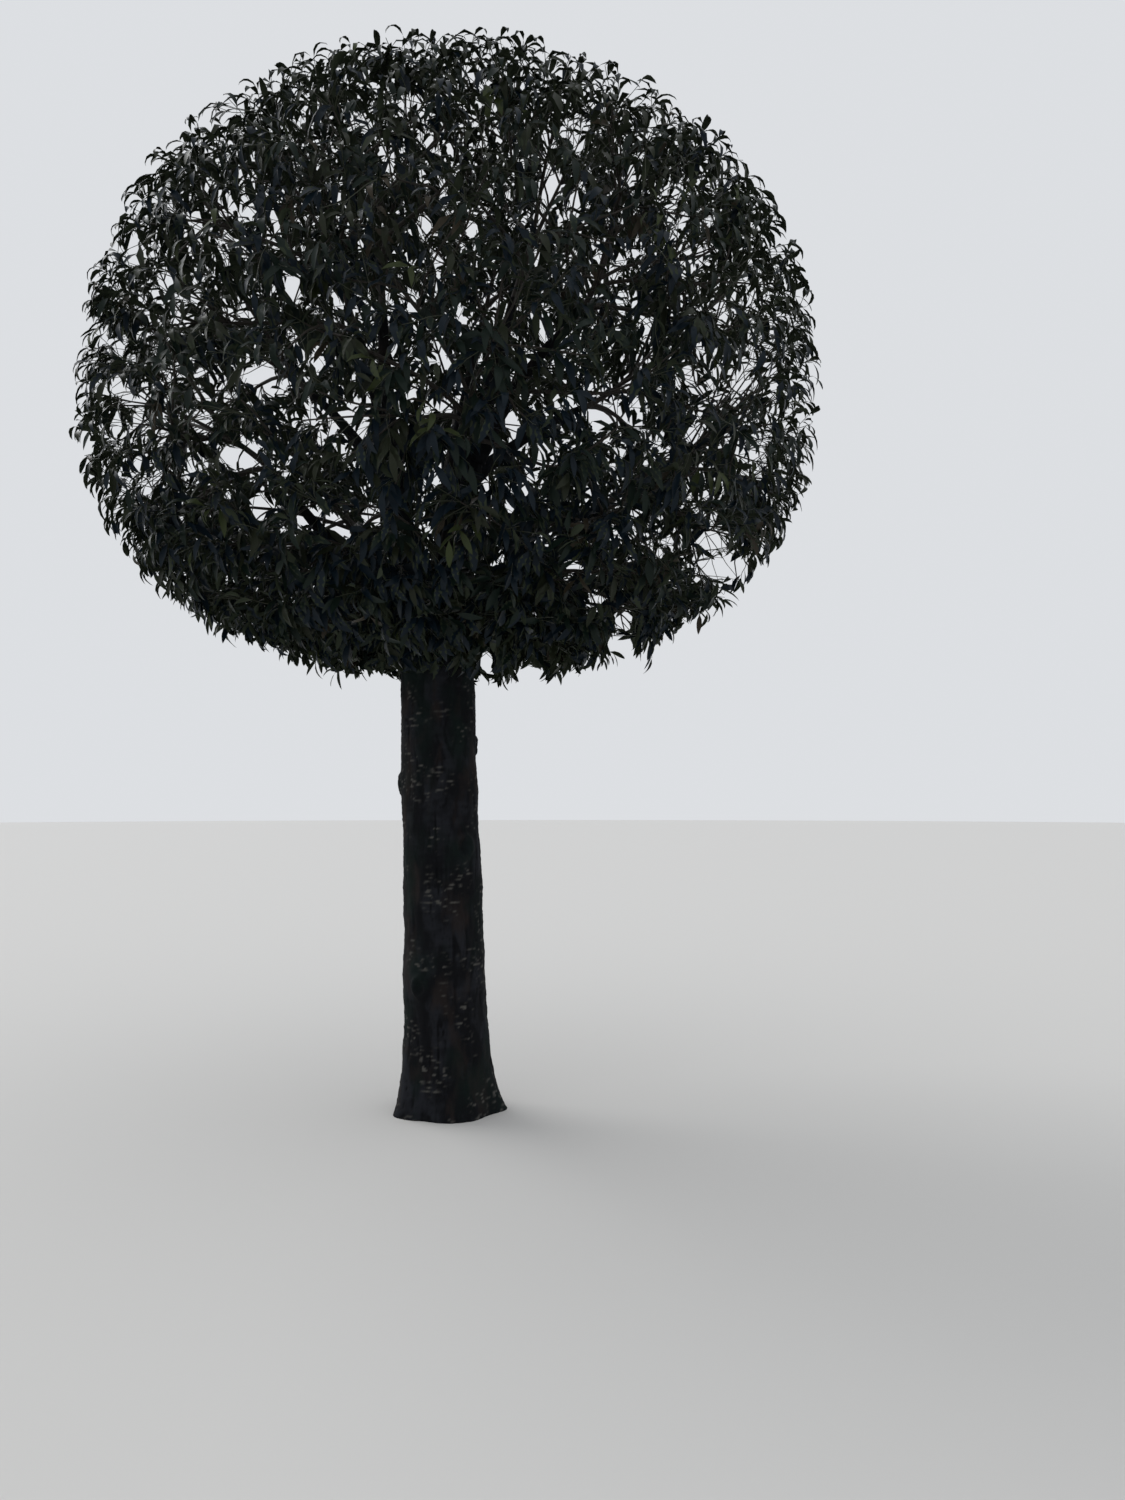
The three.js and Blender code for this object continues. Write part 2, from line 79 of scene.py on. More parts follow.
# The orders of branching past the stems. Each has count targets spread evenly, between the shares inner and
# outer of the way to the outline, and far is how far back its branches like to fork off.
ORDERS = {
    "branch": Values(count=118, inner=0.77, outer=0.84, far=0.36, base=0.0095, tip=0.0045, steps=8, bow=0.10),
    "twig": Values(count=700, inner=0.80, outer=0.94, far=0.2, base=0.0042, tip=0.0022, steps=6, bow=0.12),
    "shoot": Values(count=6000, inner=0.6, outer=0.99, far=0.13, base=0.0020, tip=0.0011, steps=4, bow=0.14),
}

# How boughs thin, bend and fork: the power of the taper, the length of the swelling at the root, where along
# its way a bough bends, and where the shoulder boughs leave their limbs. nudge keeps level and upright apart.
BOUGH = Values(taper=0.8, collar=0.07, bend=0.45, first_fork=0.34, fork_step=0.07, fork_places=3, nudge=0.001)
# How a stem runs to its heart: where it starts on its bough, where it bends, and what is left of it there.
STEM = Values(start=0.985, bend=0.4, thinned=0.6, steps=9)
# How a branch runs: it leaves half along its parent, bows, and turns outwards and up before its target.
BRANCH = Values(along=0.55, first=0.38, lift=0.5, outward=0.7, rise=0.3, last=0.3, straight=0.6, thinner=0.85)
# How the targets of branches are strewn: the power that draws them to the outline, and how far they stray.
STREWN = Values(power=2.7, stray=1.6)

# The soft lobes of the root flare, the long flutes, and the rounded head that closes the trunk.
FLARE = Values(lobes=5, depth=0.3, turn=0.6)
FLUTES = Values(count=3, depth=0.012, twist=0.5)
OVAL = 0.018
HEAD = Values(shoulder=0.07, drop=0.03, dome_steps=14, dome_rise=0.022)
# Where low boughs were once cut from the trunk: the height and turn of each healed knot, and its radius.
KNOTS = ((0.47, 4.1, 0.030), (0.78, 1.2, 0.024), (0.98, 5.3, 0.036), (1.21, 2.9, 0.028), (1.36, 0.3, 0.026))
# A knot is taller than wide, with a rim at a share of its radius and a shallower pit, which both fall off.
KNOT = Values(squat=0.8, rim=0.9, rim_fall=7, pit=0.45, pit_fall=4)

# The waves that the shears left, forwards and backwards round the crown, and the height they climb in.
WAVES = Values(forward=5, backward=3, climb=0.22)

# Lines of sight through the crown that stay open, from an eye in front of it through a point (x, z) of the
# upright plane that holds the trunk. The last numbers are the opening's half-width and half-height there.
EYE = np.array((0.0, -4.25, 1.15))
SKY_WINDOWS = (
    (-0.71, 2.25, 0.045, 0.050), (-0.53, 2.215, 0.050, 0.029), (-0.42, 2.185, 0.060, 0.029),
    (-0.30, 2.225, 0.048, 0.027), (-1.235, 2.69, 0.024, 0.045), (-0.71, 2.74, 0.060, 0.050),
    (-0.93, 2.56, 0.055, 0.035), (-0.83, 2.44, 0.035, 0.035), (-0.39, 2.60, 0.022, 0.018),
    (-0.60, 3.09, 0.035, 0.055), (-1.07, 3.10, 0.035, 0.035), (-0.96, 3.33, 0.030, 0.030),
    (-0.11, 3.36, 0.030, 0.045), (0.07, 3.37, 0.025, 0.030), (-0.05, 2.88, 0.030, 0.030),
    (0.16, 3.08, 0.030, 0.030), (0.31, 2.84, 0.025, 0.032), (0.35, 3.41, 0.030, 0.040),
    (0.64, 3.22, 0.022, 0.025), (0.60, 2.65, 0.070, 0.036), (0.95, 2.58, 0.055, 0.036),
    (1.16, 2.80, 0.045, 0.032), (0.23, 2.61, 0.030, 0.035), (0.14, 2.50, 0.030, 0.045),
    (0.13, 2.36, 0.018, 0.018), (0.48, 2.05, 0.050, 0.018), (0.57, 1.92, 0.045, 0.018),
    (0.72, 2.27, 0.025, 0.025), (1.06, 2.055, 0.13, 0.032), (1.02, 2.17, 0.06, 0.03),
    (0.38, 3.55, 0.060, 0.055), (0.48, 3.50, 0.025, 0.030), (-0.18, 3.83, 0.020, 0.035),
    (-0.08, 3.69, 0.025, 0.035), (0.18, 3.75, 0.014, 0.038), (0.11, 3.70, 0.022, 0.020),
    (0.14, 1.68, 0.030, 0.045), (0.30, 1.63, 0.050, 0.035), (0.58, 1.61, 0.060, 0.035),
    (0.67, 1.84, 0.045, 0.036), (0.66, 1.745, 0.055, 0.030), (0.82, 1.70, 0.045, 0.045),
    (-0.62, 1.62, 0.045, 0.030), (-0.84, 1.70, 0.040, 0.030), (-0.25, 1.59, 0.040, 0.030),
)
# The share of a window that no shoot crosses at all.
CORE = 0.6

# The crown as it is seen from there, in the same plane: its middle, and how far it goes on each side.
SEEN = Values(x=0.0, z=2.76, half_width=1.40, rise=1.24, drop=1.0)
# The small chinks: how far out they go there, how they stray, their widths, their heights for the widths, and
# where they are kept. A share inside is kept in the middle and all in the outer band, fewer come in below the
# low band, which lies lower at the rim by lowered, and a share topped is lost above the high band.
CHINK = Values(
    rim=0.93, turned=0.6, moved=0.35, width=(0.6, 1.1), height=(0.9, 1.7), inside=0.5, outer=(0.45, 0.95),
    low=(2.0, 2.9), lowered=0.4, edge=(0.7, 0.95), topped=0.4, high=(3.4, 3.7),
)

# Where twigs end that the shears cut bare, and sprigs that stand out of the outline, as (x, z) in that plane.
EXTRA_TARGETS = {
    "twig": ((1.17, 2.075), (1.18, 2.035), (1.12, 2.005)),
    "shoot": (
        (0.09, 3.70), (-0.43, 1.625), (0.70, 1.665), (0.78, 1.70), (1.0, 1.88), (1.05, 1.93), (-1.13, 3.24),
        (-1.09, 3.32), (-1.16, 3.17), (-1.04, 3.38),
    ),
}
# Patches where the leaves are thin: the middle (x, z), the half-width and half-height, and the share left.
THIN_PATCHES = ((1.04, 2.09, 0.15, 0.13, 0.4), (1.25, 2.9, 0.16, 0.55, 0.62), (-1.24, 2.4, 0.14, 0.28, 0.72))
# The small gaps all round: how many there are to a metre, how rare they are, how much less rare up in the top
# band, and the share of the leaves missing there.
GAPS = Values(scale=8.0, level=0.46, on_top=0.08, top=(2.4, 3.3), depth=0.85)

# How a spray's leaves stand. They spread from the shoot by spread degrees at its root and less at its tip,
# and hang more or less, least at the top of the crown. The strays are how far the dice move them.
SPRAY = Values(
    fewest=3, spread=64, closing=34, spread_stray=9, turn_stray=0.25, aim_stray=0.16, face_stray=0.28,
    face_up=0.75, face_out=0.55, hang=(0.1, 1.5), hang_top=0.5, hang_under=0.6, size=(0.8, 0.36),
    tip_loss=0.2, arch=2.6, arch_rising=2.0, arch_top=1.6, arch_stray=1.2, nudge=0.01,
)
# How leaf tips keep to the clipped outline: how uneven they are round the crown and under it, how much closer
# the top is clipped, how far a loose sprig may reach, and how many bumps there are to a metre.
CLIPPED = Values(
    bump=0.015, bump_under=0.13, under=-0.35, top=0.02, loose=1.14, scale=7.0, inward=0.4, down=0.1, tries=4
)

# The shapes of leaf, from the flattest to the most arched. In degrees, arch is how far each turns down to its
# tip, fold how far it folds up at its midrib, and sickle how far it bends sideways. width is for the length.
LeafShape = namedtuple("LeafShape", "arch fold sickle twist width")
LEAF_SHAPES = (
    LeafShape(28, 14, 6, 0, 0.26),
    LeafShape(44, 10, 14, 34, 0.28),
    LeafShape(60, 20, -10, 18, 0.25),
    LeafShape(80, 24, -14, -40, 0.25),
    LeafShape(104, 20, 8, -22, 0.26),
    LeafShape(136, 16, -6, 14, 0.24),
)
# Where the blade's cross-sections stand along it, and their half-widths as shares of the widest: for the
# leaves deep inside, those in between, and those on the outside of the crown.
LEAF_STATIONS = (
    ((0.3, 0.95), (0.68, 0.82)),
    ((0.12, 0.2), (0.42, 1.0), (0.76, 0.66)),
    ((0.1, 0.13), (0.28, 0.82), (0.48, 1.0), (0.68, 0.86), (0.86, 0.44)),
)
DETAIL_SHARES = (0.9, 0.985)
# A midrib has straight spans and turns over by a power, and a twisted blade is level at a share of it. chord
# and dip say how far the tip of an arching leaf comes back and goes down.
MIDRIB = Values(spans=24, power=1.3, level=0.3, chord=24, dip=0.43)

GREENS = ("deep", "blue", "olive", "fresh", "bronze")
# How often each is dealt, low down in the shade of the crown and high up, and between which heights. The blue
# green, dealt mostly low down, is painted shade, and the olive and fresh greens, dealt more often high up,
# are painted light.
GREEN_ODDS_SHADED_AND_LIT = ((0.31, 0.53, 0.12, 0.02, 0.02), (0.40, 0.24, 0.29, 0.04, 0.03))
SHADED_TO_LIT_HEIGHTS = (1.9, 3.3)
# What a point says about the leaf that it carries.
LEAF_FIELDS = {"aim": "FLOAT_VECTOR", "face": "FLOAT_VECTOR", "size": "FLOAT", "shape": "INT", "green": "INT"}

# How many waves a metre the patterns of the bark's relief have, round the trunk and along it.
GRAIN = dict(
    lump=(9, 5), wander=(12, 7), plate=(30, 3.4), fine=(75, 9), fade=(13, 6), pore=(42, 190), patch=(11, 8),
    wrinkle=(16, 75),
)
# How they make the bark: how far the cracks wander, how wide they are for their waves, the share of the depth
# that the broad ones have, where they fade, where pores are, how high the bark stands from 0 to 1, what lumps
# and wrinkles add to that, its height on the dome and the ends, and how strong a bough's relief is for its
# radius.
RELIEF = Values(
    wander=0.5, crack=0.15, fine_crack=0.13, broad=0.75, fade=(1.6, 0.55), pore=(5, 0.27), patch=4,
    level=0.62, lump=0.25, wrinkle=0.16, dome=0.5, ends=0.4, full=0.1, strength=(0.18, 0.7),
)
LAMP_PLACE = Vector((-3.6, 3.4, 6.2))
LAMP_AIM = Vector((0, 0, 2.4))


def kind_of(make, **options):
    """A maker of one kind of property, from a name, a default and a description."""
    return lambda name, default, description: make(
        name=name, default=default, description=description, **options
    )


length = kind_of(FloatProperty, unit="LENGTH", precision=4)
ratio = kind_of(FloatProperty, precision=3)
angle = kind_of(FloatProperty, subtype="ANGLE")
whole = kind_of(IntProperty)
position = kind_of(FloatVectorProperty, subtype="TRANSLATION")
tint = kind_of(FloatVectorProperty, subtype="COLOR", size=3, min=0, max=1)


class LaurelCrown(PropertyGroup):
    """The clipped outline: a dome, squarer than an ellipsoid, with a shallower bowl under its widest line."""

    middle_x: length("Middle X", 0.028, "Crown's middle, right of the trunk's foot")
    middle_z: length("Middle height", 2.5, "Height of the crown's widest line")
    radius: length("Radius", 1.345, "Half the crown's widest span")
    rise: length("Rise", 1.185, "From the widest line up to the top")
    drop: length("Drop", 0.88, "From the widest line down to the bottom")
    square_above: ratio("Squareness above", 2.75, "Power of the outline above the widest line")
    square_below: ratio("Squareness below", 2.23, "Power of the outline below the widest line")
    lean: ratio("Lean", 0.04, "Lean to the right for the height")
    clip_wave: ratio("Clipping wave", 0.006, "Unevenness for the radius")


class LaurelTrunk(PropertyGroup):
    """The trunk, from its flat cut on the ground to the head where it forks."""

    height: length("Height", 1.95, "From the ground to the top of the head")
    foot_radius: length("Foot radius", 0.154, "Radius at the ground without the flare")
    neck_radius: length("Neck radius", 0.138, "Radius at the neck")
    neck_height: length("Neck height", 1.53, "Height where the taper ends")
    lean: ratio("Lean", -0.028, "Lean to the right for the height")
    flare: length("Root flare", 0.048, "How far the foot flares out")
    flare_height: length("Flare height", 0.13, "Height over which the flare dies away")
    head_swell: length("Head swell", 0.026, "How far the head swells under the boughs")
    head_start: length("Head start", 1.62, "Height where the head begins")
    mesh_step: length("Mesh step", 0.0064, "Size of the faces that carry the bark's relief")


class LaurelBark(PropertyGroup):
    """The relief and the colours of the bark."""

    lump: length("Lumps", 0.0085, "Height of the broad lumps")
    fissure: length("Fissures", 0.0042, "Depth of the cracks")
    lenticel: length("Lenticels", 0.0016, "Height of the lying pores")
    wrinkle: length("Wrinkles", 0.0016, "Depth of the cross wrinkles")
    knot: length("Knots", 0.012, "Height of the healed rims")
    # The bark tints carry painted shade over the bark's own colours: ridges, flaked bark and bough bark are
    # darkened, the ridges and boughs with a cold blue cast, for the deep shade under the crown, and the
    # cracks are near black.
    ridge: tint("Ridges", (0.0122, 0.0132, 0.0164), "Bark between the cracks")
    crack: tint("Cracks", (0.002, 0.002, 0.003), "Bottom of the cracks")
    flaked: tint("Flaked bark", (0.0190, 0.0145, 0.0135), "Where the old skin came off")
    pore: tint("Pores", (0.075, 0.073, 0.067), "Lenticels and flakes")
    algae: tint("Algae", (0.0052, 0.0105, 0.0092), "Green film on the bark")
    bough: tint("Bough bark", (0.0105, 0.0113, 0.0135), "Smoother bark of the boughs")
    twig: tint("Twig bark", (0.025, 0.020, 0.015), "Bark of the twigs")
    shoot: tint("Shoot skin", (0.027, 0.032, 0.016), "Green skin of the young shoots")


class LaurelLimbs(PropertyGroup):
    """How the boughs run."""

    collar: ratio("Collar", 0.32, "Swelling at the root, for the base radius")
    root_depth: length("Root depth", 0.06, "How deep a bough is rooted")
    spread: length("Spread", 0.066, "Start of the rising limbs from the axis")
    elbow_height: length("Elbow height", 2.4, "Height where the rising limbs bend")
    elbow_radius: length("Elbow radius", 0.18, "How far out they bend")
    lift: length("Lift", 0.14, "How far a low bough rises at its bend")
    sides: whole("Sides", 24, "Faces round a bough")
    mesh_step: length("Mesh step", 0.012, "Length of the faces along a bough")


class LaurelLeaves(PropertyGroup):
    """The leaves, and the greens that the sprays are dealt."""

    blade: length("Leaf length", 0.097, "Length of a full leaf")
    thickness: ratio("Thickness", 0.011, "Thickness for the length")
    spacing: length("Spacing", 0.0165, "From one leaf to the next along a shoot")
    bare: ratio("Bare share", 0.12, "Share of a shoot with no leaves")
    droop: ratio("Droop", 0.62, "How strongly a leaf stalk hangs")
    outermost: ratio("Outermost", 1.015, "How far out a leaf tip may reach")
    windows_left: ratio("Windows left", 0.88, "Share of the windows' width that shoots leave open")
    chinks: whole("Chinks", 1400, "Small openings tried")
    chink: length("Chink size", 0.0107, "Half the width of a small chink")
    seed: whole("Seed", 4201, "Starts the throws of the dice")
    # The deep and blue greens carry painted shade: the deep green is the laurel's own dark green with a
    # slight cold cast, and the blue green is a navy tint for the shaded low crown.
    deep: tint("Deep green", (0.0058, 0.0120, 0.0084), "The commonest green")
    blue: tint("Blue green", (0.0036, 0.0090, 0.0142), "A colder green")
    olive: tint("Olive green", (0.0145, 0.0180, 0.0095), "A warmer green")
    fresh: tint("Fresh green", (0.033, 0.043, 0.016), "Younger sprays")
    bronze: tint("Bronze green", (0.032, 0.026, 0.017), "The odd browned spray")
    underside: tint("Underside", (0.029, 0.037, 0.023), "The paler, matt underside")


class LaurelStage(PropertyGroup):
    """The floor, the light and the camera."""

    eye: position("Eye", tuple(EYE.tolist()), "Where the camera stands")
    yaw: angle("Yaw", math.radians(5.8), "Turn to the right")
    pitch: angle("Pitch", math.radians(2.563), "Tilt upwards")
    lens: ratio("Lens", 26.8, "Focal length in millimetres")
    floor_radius: length("Floor radius", 60.0, "Radius of the round floor")
    floor: tint("Floor", (0.66, 0.65, 0.63), "The pale floor")
    sky: tint("Sky", (0.80, 0.82, 0.85), "The pale surroundings")
    sky_strength: ratio("Sky strength", 0.9, "Brightness of the surroundings")
    key_power: ratio("Key power", 1.1, "Soft light in watts on a square metre")
    key_spread: angle("Key spread", math.radians(40), "How wide the soft light is")


class LaurelSettings(PropertyGroup):
    """All sizes and colours of the tree."""

    crown: PointerProperty(type=LaurelCrown)
    trunk: PointerProperty(type=LaurelTrunk)
    bark: PointerProperty(type=LaurelBark)
    limbs: PointerProperty(type=LaurelLimbs)
    leaves: PointerProperty(type=LaurelLeaves)
    stage: PointerProperty(type=LaurelStage)


def settings():
    return bpy.context.scene.laurel


def unit(vectors):
    """The same vectors with a length of one."""
    return vectors / np.maximum(np.linalg.norm(vectors, axis=-1, keepdims=True), TINY)


def smooth_step(start, end, value):
    """How far a value has got from start to end, from 0 to 1, with soft ends."""
    t = np.clip((value - start) / (end - start), 0, 1)
    return t * t * (3 - 2 * t)


def bent_line(start, bend, end, steps):
    """Points along a curve that starts at one point, heads for the next and ends at the last."""
    t = np.linspace(0, 1, steps)[:, None]
    return start * (1 - t) ** 2 + bend * 2 * t * (1 - t) + end * t**2


def between(points, stations, wanted):
    """Where the wanted stations are among points that have stations."""
    return np.stack([np.interp(wanted, stations, points[:, i]) for i in range(3)], axis=-1)


def turns(count):
    """Even turns, once round."""
    return np.arange(count) * TURN / count


def rays(heading, turned, nudge):
    """Directions square to a heading, turned round it from the level one."""
    level = unit(np.cross(heading, UP + nudge))
    return np.cos(turned) * level + np.sin(turned) * np.cross(level, heading)


def even_directions(count):
    """Points spread evenly over a sphere, as directions."""
    number = np.arange(count)
    z = 1 - (2 * (number + 0.5)) / count
    across = np.sqrt(1 - z * z)
    turned = GOLDEN_TURN * number
    return np.stack([across * np.cos(turned), across * np.sin(turned), z], axis=1)


def crown_middle():
    crown = settings().crown
    return np.array((crown.middle_x, 0.0, crown.middle_z))


def outline_share(points):
    """How far out points lie: 0 at the crown's middle, 1 on the clipped outline."""
    crown = settings().crown
    z = points[..., 2] - crown.middle_z
    x = points[..., 0] - crown.middle_x - crown.lean * z
    power = np.where(z > 0, crown.square_above, crown.square_below)
    half = np.where(z > 0, crown.rise, crown.drop)
    across = np.hypot(x, points[..., 1]) / crown.radius
    reached = (across**power + (np.abs(z) / half) ** power) ** (1 / power)
    turned = np.arctan2(points[..., 1], x)
    climb = z / WAVES.climb
    wave = np.sin(WAVES.forward * turned + climb) * np.sin(WAVES.backward * turned - climb)
    return reached / (1 - crown.clip_wave * (1 - wave))


def points_at_shares(directions, shares):
    """The points at shares of the way from the crown's middle to the outline, in directions."""
    radius = settings().crown.radius
    far = outline_share(crown_middle() + directions * radius)
    return crown_middle() + directions * (radius * shares / far)[:, None]


def trunk_axis(z):
    """The middle of the trunk at heights."""
    return np.multiply.outer(z, (settings().trunk.lean, 0.0, 1.0))


def trunk_radius(z, turned):
    """The trunk's radius without its bark, at heights and turns."""
    trunk = settings().trunk
    head = trunk.height - HEAD.shoulder
    taper = trunk.foot_radius + (trunk.neck_radius - trunk.foot_radius) * np.minimum(z / trunk.neck_height, 1)
    lobes = 1 + FLARE.depth * np.cos(FLARE.lobes * turned + FLARE.turn)
    flare = trunk.flare * np.exp(-z / trunk.flare_height) * lobes
    swell = trunk.head_swell * smooth_step(trunk.head_start, head, z)
    shoulder = np.maximum(z - head, 0) / HEAD.shoulder
    oval = OVAL * np.cos(2 * turned + FLARE.turn)
    flutes = FLUTES.depth * np.cos(FLUTES.count * turned - z / FLUTES.twist)
    return (taper + flare + swell) * (1 + oval + flutes) - HEAD.drop * shoulder**2


class Limb:
    """One tapering limb, along a curve that starts at root, heads for bend and ends at tip."""

    POINTS = 201

    def __init__(self, name, root, bend, tip, ring):
        self.name = name
        self.base = ring.base
        self.tip = ring.tip
        self.line = bent_line(root, bend, tip, self.POINTS)
        steps = np.linalg.norm(np.diff(self.line, axis=0), axis=1)
        self.along = np.concatenate([[0.0], np.cumsum(steps)])
        self.length = self.along[-1]

    def at(self, shares):
        """Points at shares of the limb's length."""
        return between(self.line, self.along, np.asarray(shares) * self.length)

    def radius(self, shares):
        """The limb's radius without its bark, at shares of its length."""
        limbs = settings().limbs
        taper = self.base + (self.tip - self.base) * shares**BOUGH.taper
        past = np.maximum(shares * self.length - limbs.root_depth, 0)
        return taper + self.base * limbs.collar * np.exp(-past / BOUGH.collar)


def limb_course(ring, number, outward, heart, risers):
    """Where a limb is rooted, bends and ends on its way to the heart of its mass."""
    trunk, limbs = settings().trunk, settings().limbs
    if ring is RINGS["top"]:
        # A rising limb goes up steeply from the trunk's head.
        root = trunk_axis(trunk.height - limbs.root_depth) + outward * limbs.spread
        elbow = trunk_axis(limbs.elbow_height) + outward * limbs.elbow_radius
        return root, elbow, elbow + (heart - elbow) * ring.reach
    if ring is RINGS["shoulder"]:
        # A shoulder bough leaves the rising limb that ends nearest to its mass.
        parent = min(risers, key=lambda limb: np.linalg.norm(limb.at(1.0) - heart))
        root = parent.at(BOUGH.first_fork + BOUGH.fork_step * (number % BOUGH.fork_places))
        bend = root + (heart - root) * BOUGH.bend + UP * limbs.lift / 2
    else:
        # A low bough goes out from the side of the trunk.
        root = trunk_axis(ring.root) + outward * (trunk.neck_radius - limbs.root_depth)
        bend = root + (heart - root) * BOUGH.bend
        bend[2] = root[2] + limbs.lift
    return root, bend, root + (heart - root) * ring.reach


def grow_limbs():
    """The limbs, and the masses of foliage that they carry, in the order of their rings."""
    crown = settings().crown
    limbs, masses = [], []
    for ring_name, ring in RINGS.items():
        for number in range(1, ring.count + 1):
            turned = math.radians(ring.turn + 360 * (number - 1) / ring.count)
            outward = np.array((math.cos(turned), math.sin(turned), 0.0))
            axis = np.array((crown.middle_x + crown.lean * (ring.height - crown.middle_z), 0.0, ring.height))
            heart = axis + outward * ring.radius
            course = limb_course(ring, number, outward, heart, limbs[: RINGS["top"].count])
            limb = Limb(f"{BOUGHS[ring_name]}_{number}", *course, ring)
            limbs.append(limb)
            node = f"{ring_name}_foliage_{number}"
            masses.append(Values(node=node, label=f"{ring_name}_{number}", heart=heart, limb=limb))
    return limbs, masses


def seen_in(points, ovals):
    """Which points are seen in which ovals of the upright plane that holds the trunk, a row for a point."""
    ways = points - EYE
    scale = ways[:, 1:2] / -EYE[1]
    across = (EYE[0] + ways[:, 0:1] / scale - ovals[:, 0]) / ovals[:, 2]
    upright = (EYE[2] + ways[:, 2:3] / scale - ovals[:, 1]) / ovals[:, 3]
    return across**2 + upright**2 < 1


def blocks_sky(points, openings):
    """Whether points stand in one of the open lines of sight."""
    return seen_in(points, openings).any(axis=1)


def small_openings():
    """Chinks between the leaves, more near the rim and fewer low down and on top, as more lines of sight."""
    leaves = settings().leaves
    dice = np.random.default_rng(leaves.seed + 1)
    number = np.arange(leaves.chinks)
    out = np.sqrt((number + 0.5) / leaves.chinks)
    turned = GOLDEN_TURN * number + dice.normal(0, CHINK.turned, leaves.chinks) / np.sqrt(number + 1)
    out = out + dice.normal(0, CHINK.moved, leaves.chinks) / math.sqrt(leaves.chinks)
    x = SEEN.x + SEEN.half_width * out * np.cos(turned)
    half = np.where(np.sin(turned) > 0, SEEN.rise, SEEN.drop)
    z = SEEN.z + half * out * np.sin(turned)
    chance = CHINK.inside + (1 - CHINK.inside) * smooth_step(*CHINK.outer, out)
    chance = chance * smooth_step(*CHINK.low, z + CHINK.lowered * smooth_step(*CHINK.edge, out))
    chance = chance * (1 - CHINK.topped * smooth_step(*CHINK.high, z))
    half_width = leaves.chink * (CHINK.width[0] + CHINK.width[1] * dice.random(leaves.chinks) ** 2)
    half_height = half_width * dice.uniform(*CHINK.height, leaves.chinks)
    chinks = np.stack([x, z, half_width, half_height], axis=1)
    return chinks[(dice.random(leaves.chinks) < chance) & (out < CHINK.rim)]


def thinned(points, dice):
    """Which points the dice take away: those of a thin patch, and those in the small gaps."""
    patches = np.array(THIN_PATCHES)
    chance = (seen_in(points, patches) * (1 - patches[:, 4])).max(axis=1)
    clumps = np.array([noise.noise(Vector(point) * GAPS.scale) for point in points])
    top = smooth_step(*GAPS.top, points[:, 2])
    chance = np.where(clumps > GAPS.level - GAPS.on_top * top, np.maximum(chance, GAPS.depth), chance)
    return dice.random(len(points)) < chance


class Network:
    """Branches, each a line, its radii and the number of its mass, and where finer ones can fork off."""

    def __init__(self, branches):
        lines, radii, owners = zip(*branches)
        self.branches = branches
        self.places = np.concatenate(lines)
        self.headings = np.concatenate([unit(np.gradient(line, axis=0)) for line in lines])
        self.thickness = np.concatenate(radii)
        self.owner = np.concatenate([np.full(len(line), owner) for line, owner in zip(lines, owners)])

    def fork_for(self, target, owner, far):
        """The place from which a branch about as long as far runs to a target with no sharp turn."""
        ways = target - self.places
        lengths = np.linalg.norm(ways, axis=1)
        lean = (ways * self.headings).sum(axis=1) / np.maximum(lengths, TINY)
        cost = np.abs(lengths - far) + far * np.clip(BRANCH.straight - lean, 0, None)
        cost = np.where(self.owner == owner, cost, np.inf)
        best = int(cost.argmin())
        return best if np.isfinite(cost[best]) else None


def branch_line(start, heading, target, order, dice):
    """A branch that leaves along its parent, bows a little upwards and sideways, and ends at its target."""
    way = target - start
    far = np.linalg.norm(way)
    outward = unit(target - crown_middle())
    first = start + unit(heading * BRANCH.along + way / far) * far * BRANCH.first
    bow = (UP * BRANCH.lift + (dice.random(3) - 0.5)) * far * order.bow
    last = target - unit(way / far + outward * BRANCH.outward + UP * BRANCH.rise) * far * BRANCH.last + bow
    t = np.linspace(0, 1, order.steps)[:, None]
    u = 1 - t
    return start * u**3 + first * 3 * u * u * t + last * 3 * u * t * t + target * t**3


def grow_order(name, parents, masses, openings, dice):
    """The branches of one order: their network, each run from a fork of the last order to its target."""
    order = ORDERS[name]
    shares = order.outer - (order.outer - order.inner) * dice.random(order.count) ** STREWN.power
    stray = (dice.random((order.count, 3)) - 0.5) * STREWN.stray / math.sqrt(order.count)
    targets = points_at_shares(unit(even_directions(order.count) + stray), shares)
    blocked = blocks_sky(targets, openings)
    extra = EXTRA_TARGETS.get(name, ())
    if extra:
        targets = np.concatenate([targets, [(x, 0.0, z) for x, z in extra]])
        blocked = np.concatenate([blocked, np.zeros(len(extra), bool)])
    hearts = np.array([mass.heart for mass in masses])
    owners = np.linalg.norm(targets[:, None] - hearts[None], axis=2).argmin(axis=1)
    cores = openings[: len(SKY_WINDOWS)] * (1, 1, CORE, CORE)
    grown = []
    for target, owner, block in zip(targets, owners, blocked):
        fork = None if block else parents.fork_for(target, owner, order.far)
        if fork is None:
            continue
        line = branch_line(parents.places[fork], parents.headings[fork], target, order, dice)
        if name == "shoot" and blocks_sky(line[1:-1], cores).any():
            continue
        base = min(order.base, parents.thickness[fork] * BRANCH.thinner)
        grown.append((line, np.linspace(base, min(order.tip, base), order.steps), owner))
    return Network(grown)


def stem_line(mass):
    """The stem, from just inside the bough's tip to the heart of its mass."""
    end, start = mass.limb.at(1.0), mass.limb.at(STEM.start)
    knee = end + unit(end - start) * np.linalg.norm(mass.heart - end) * STEM.bend
    return bent_line(start, knee, mass.heart, STEM.steps)


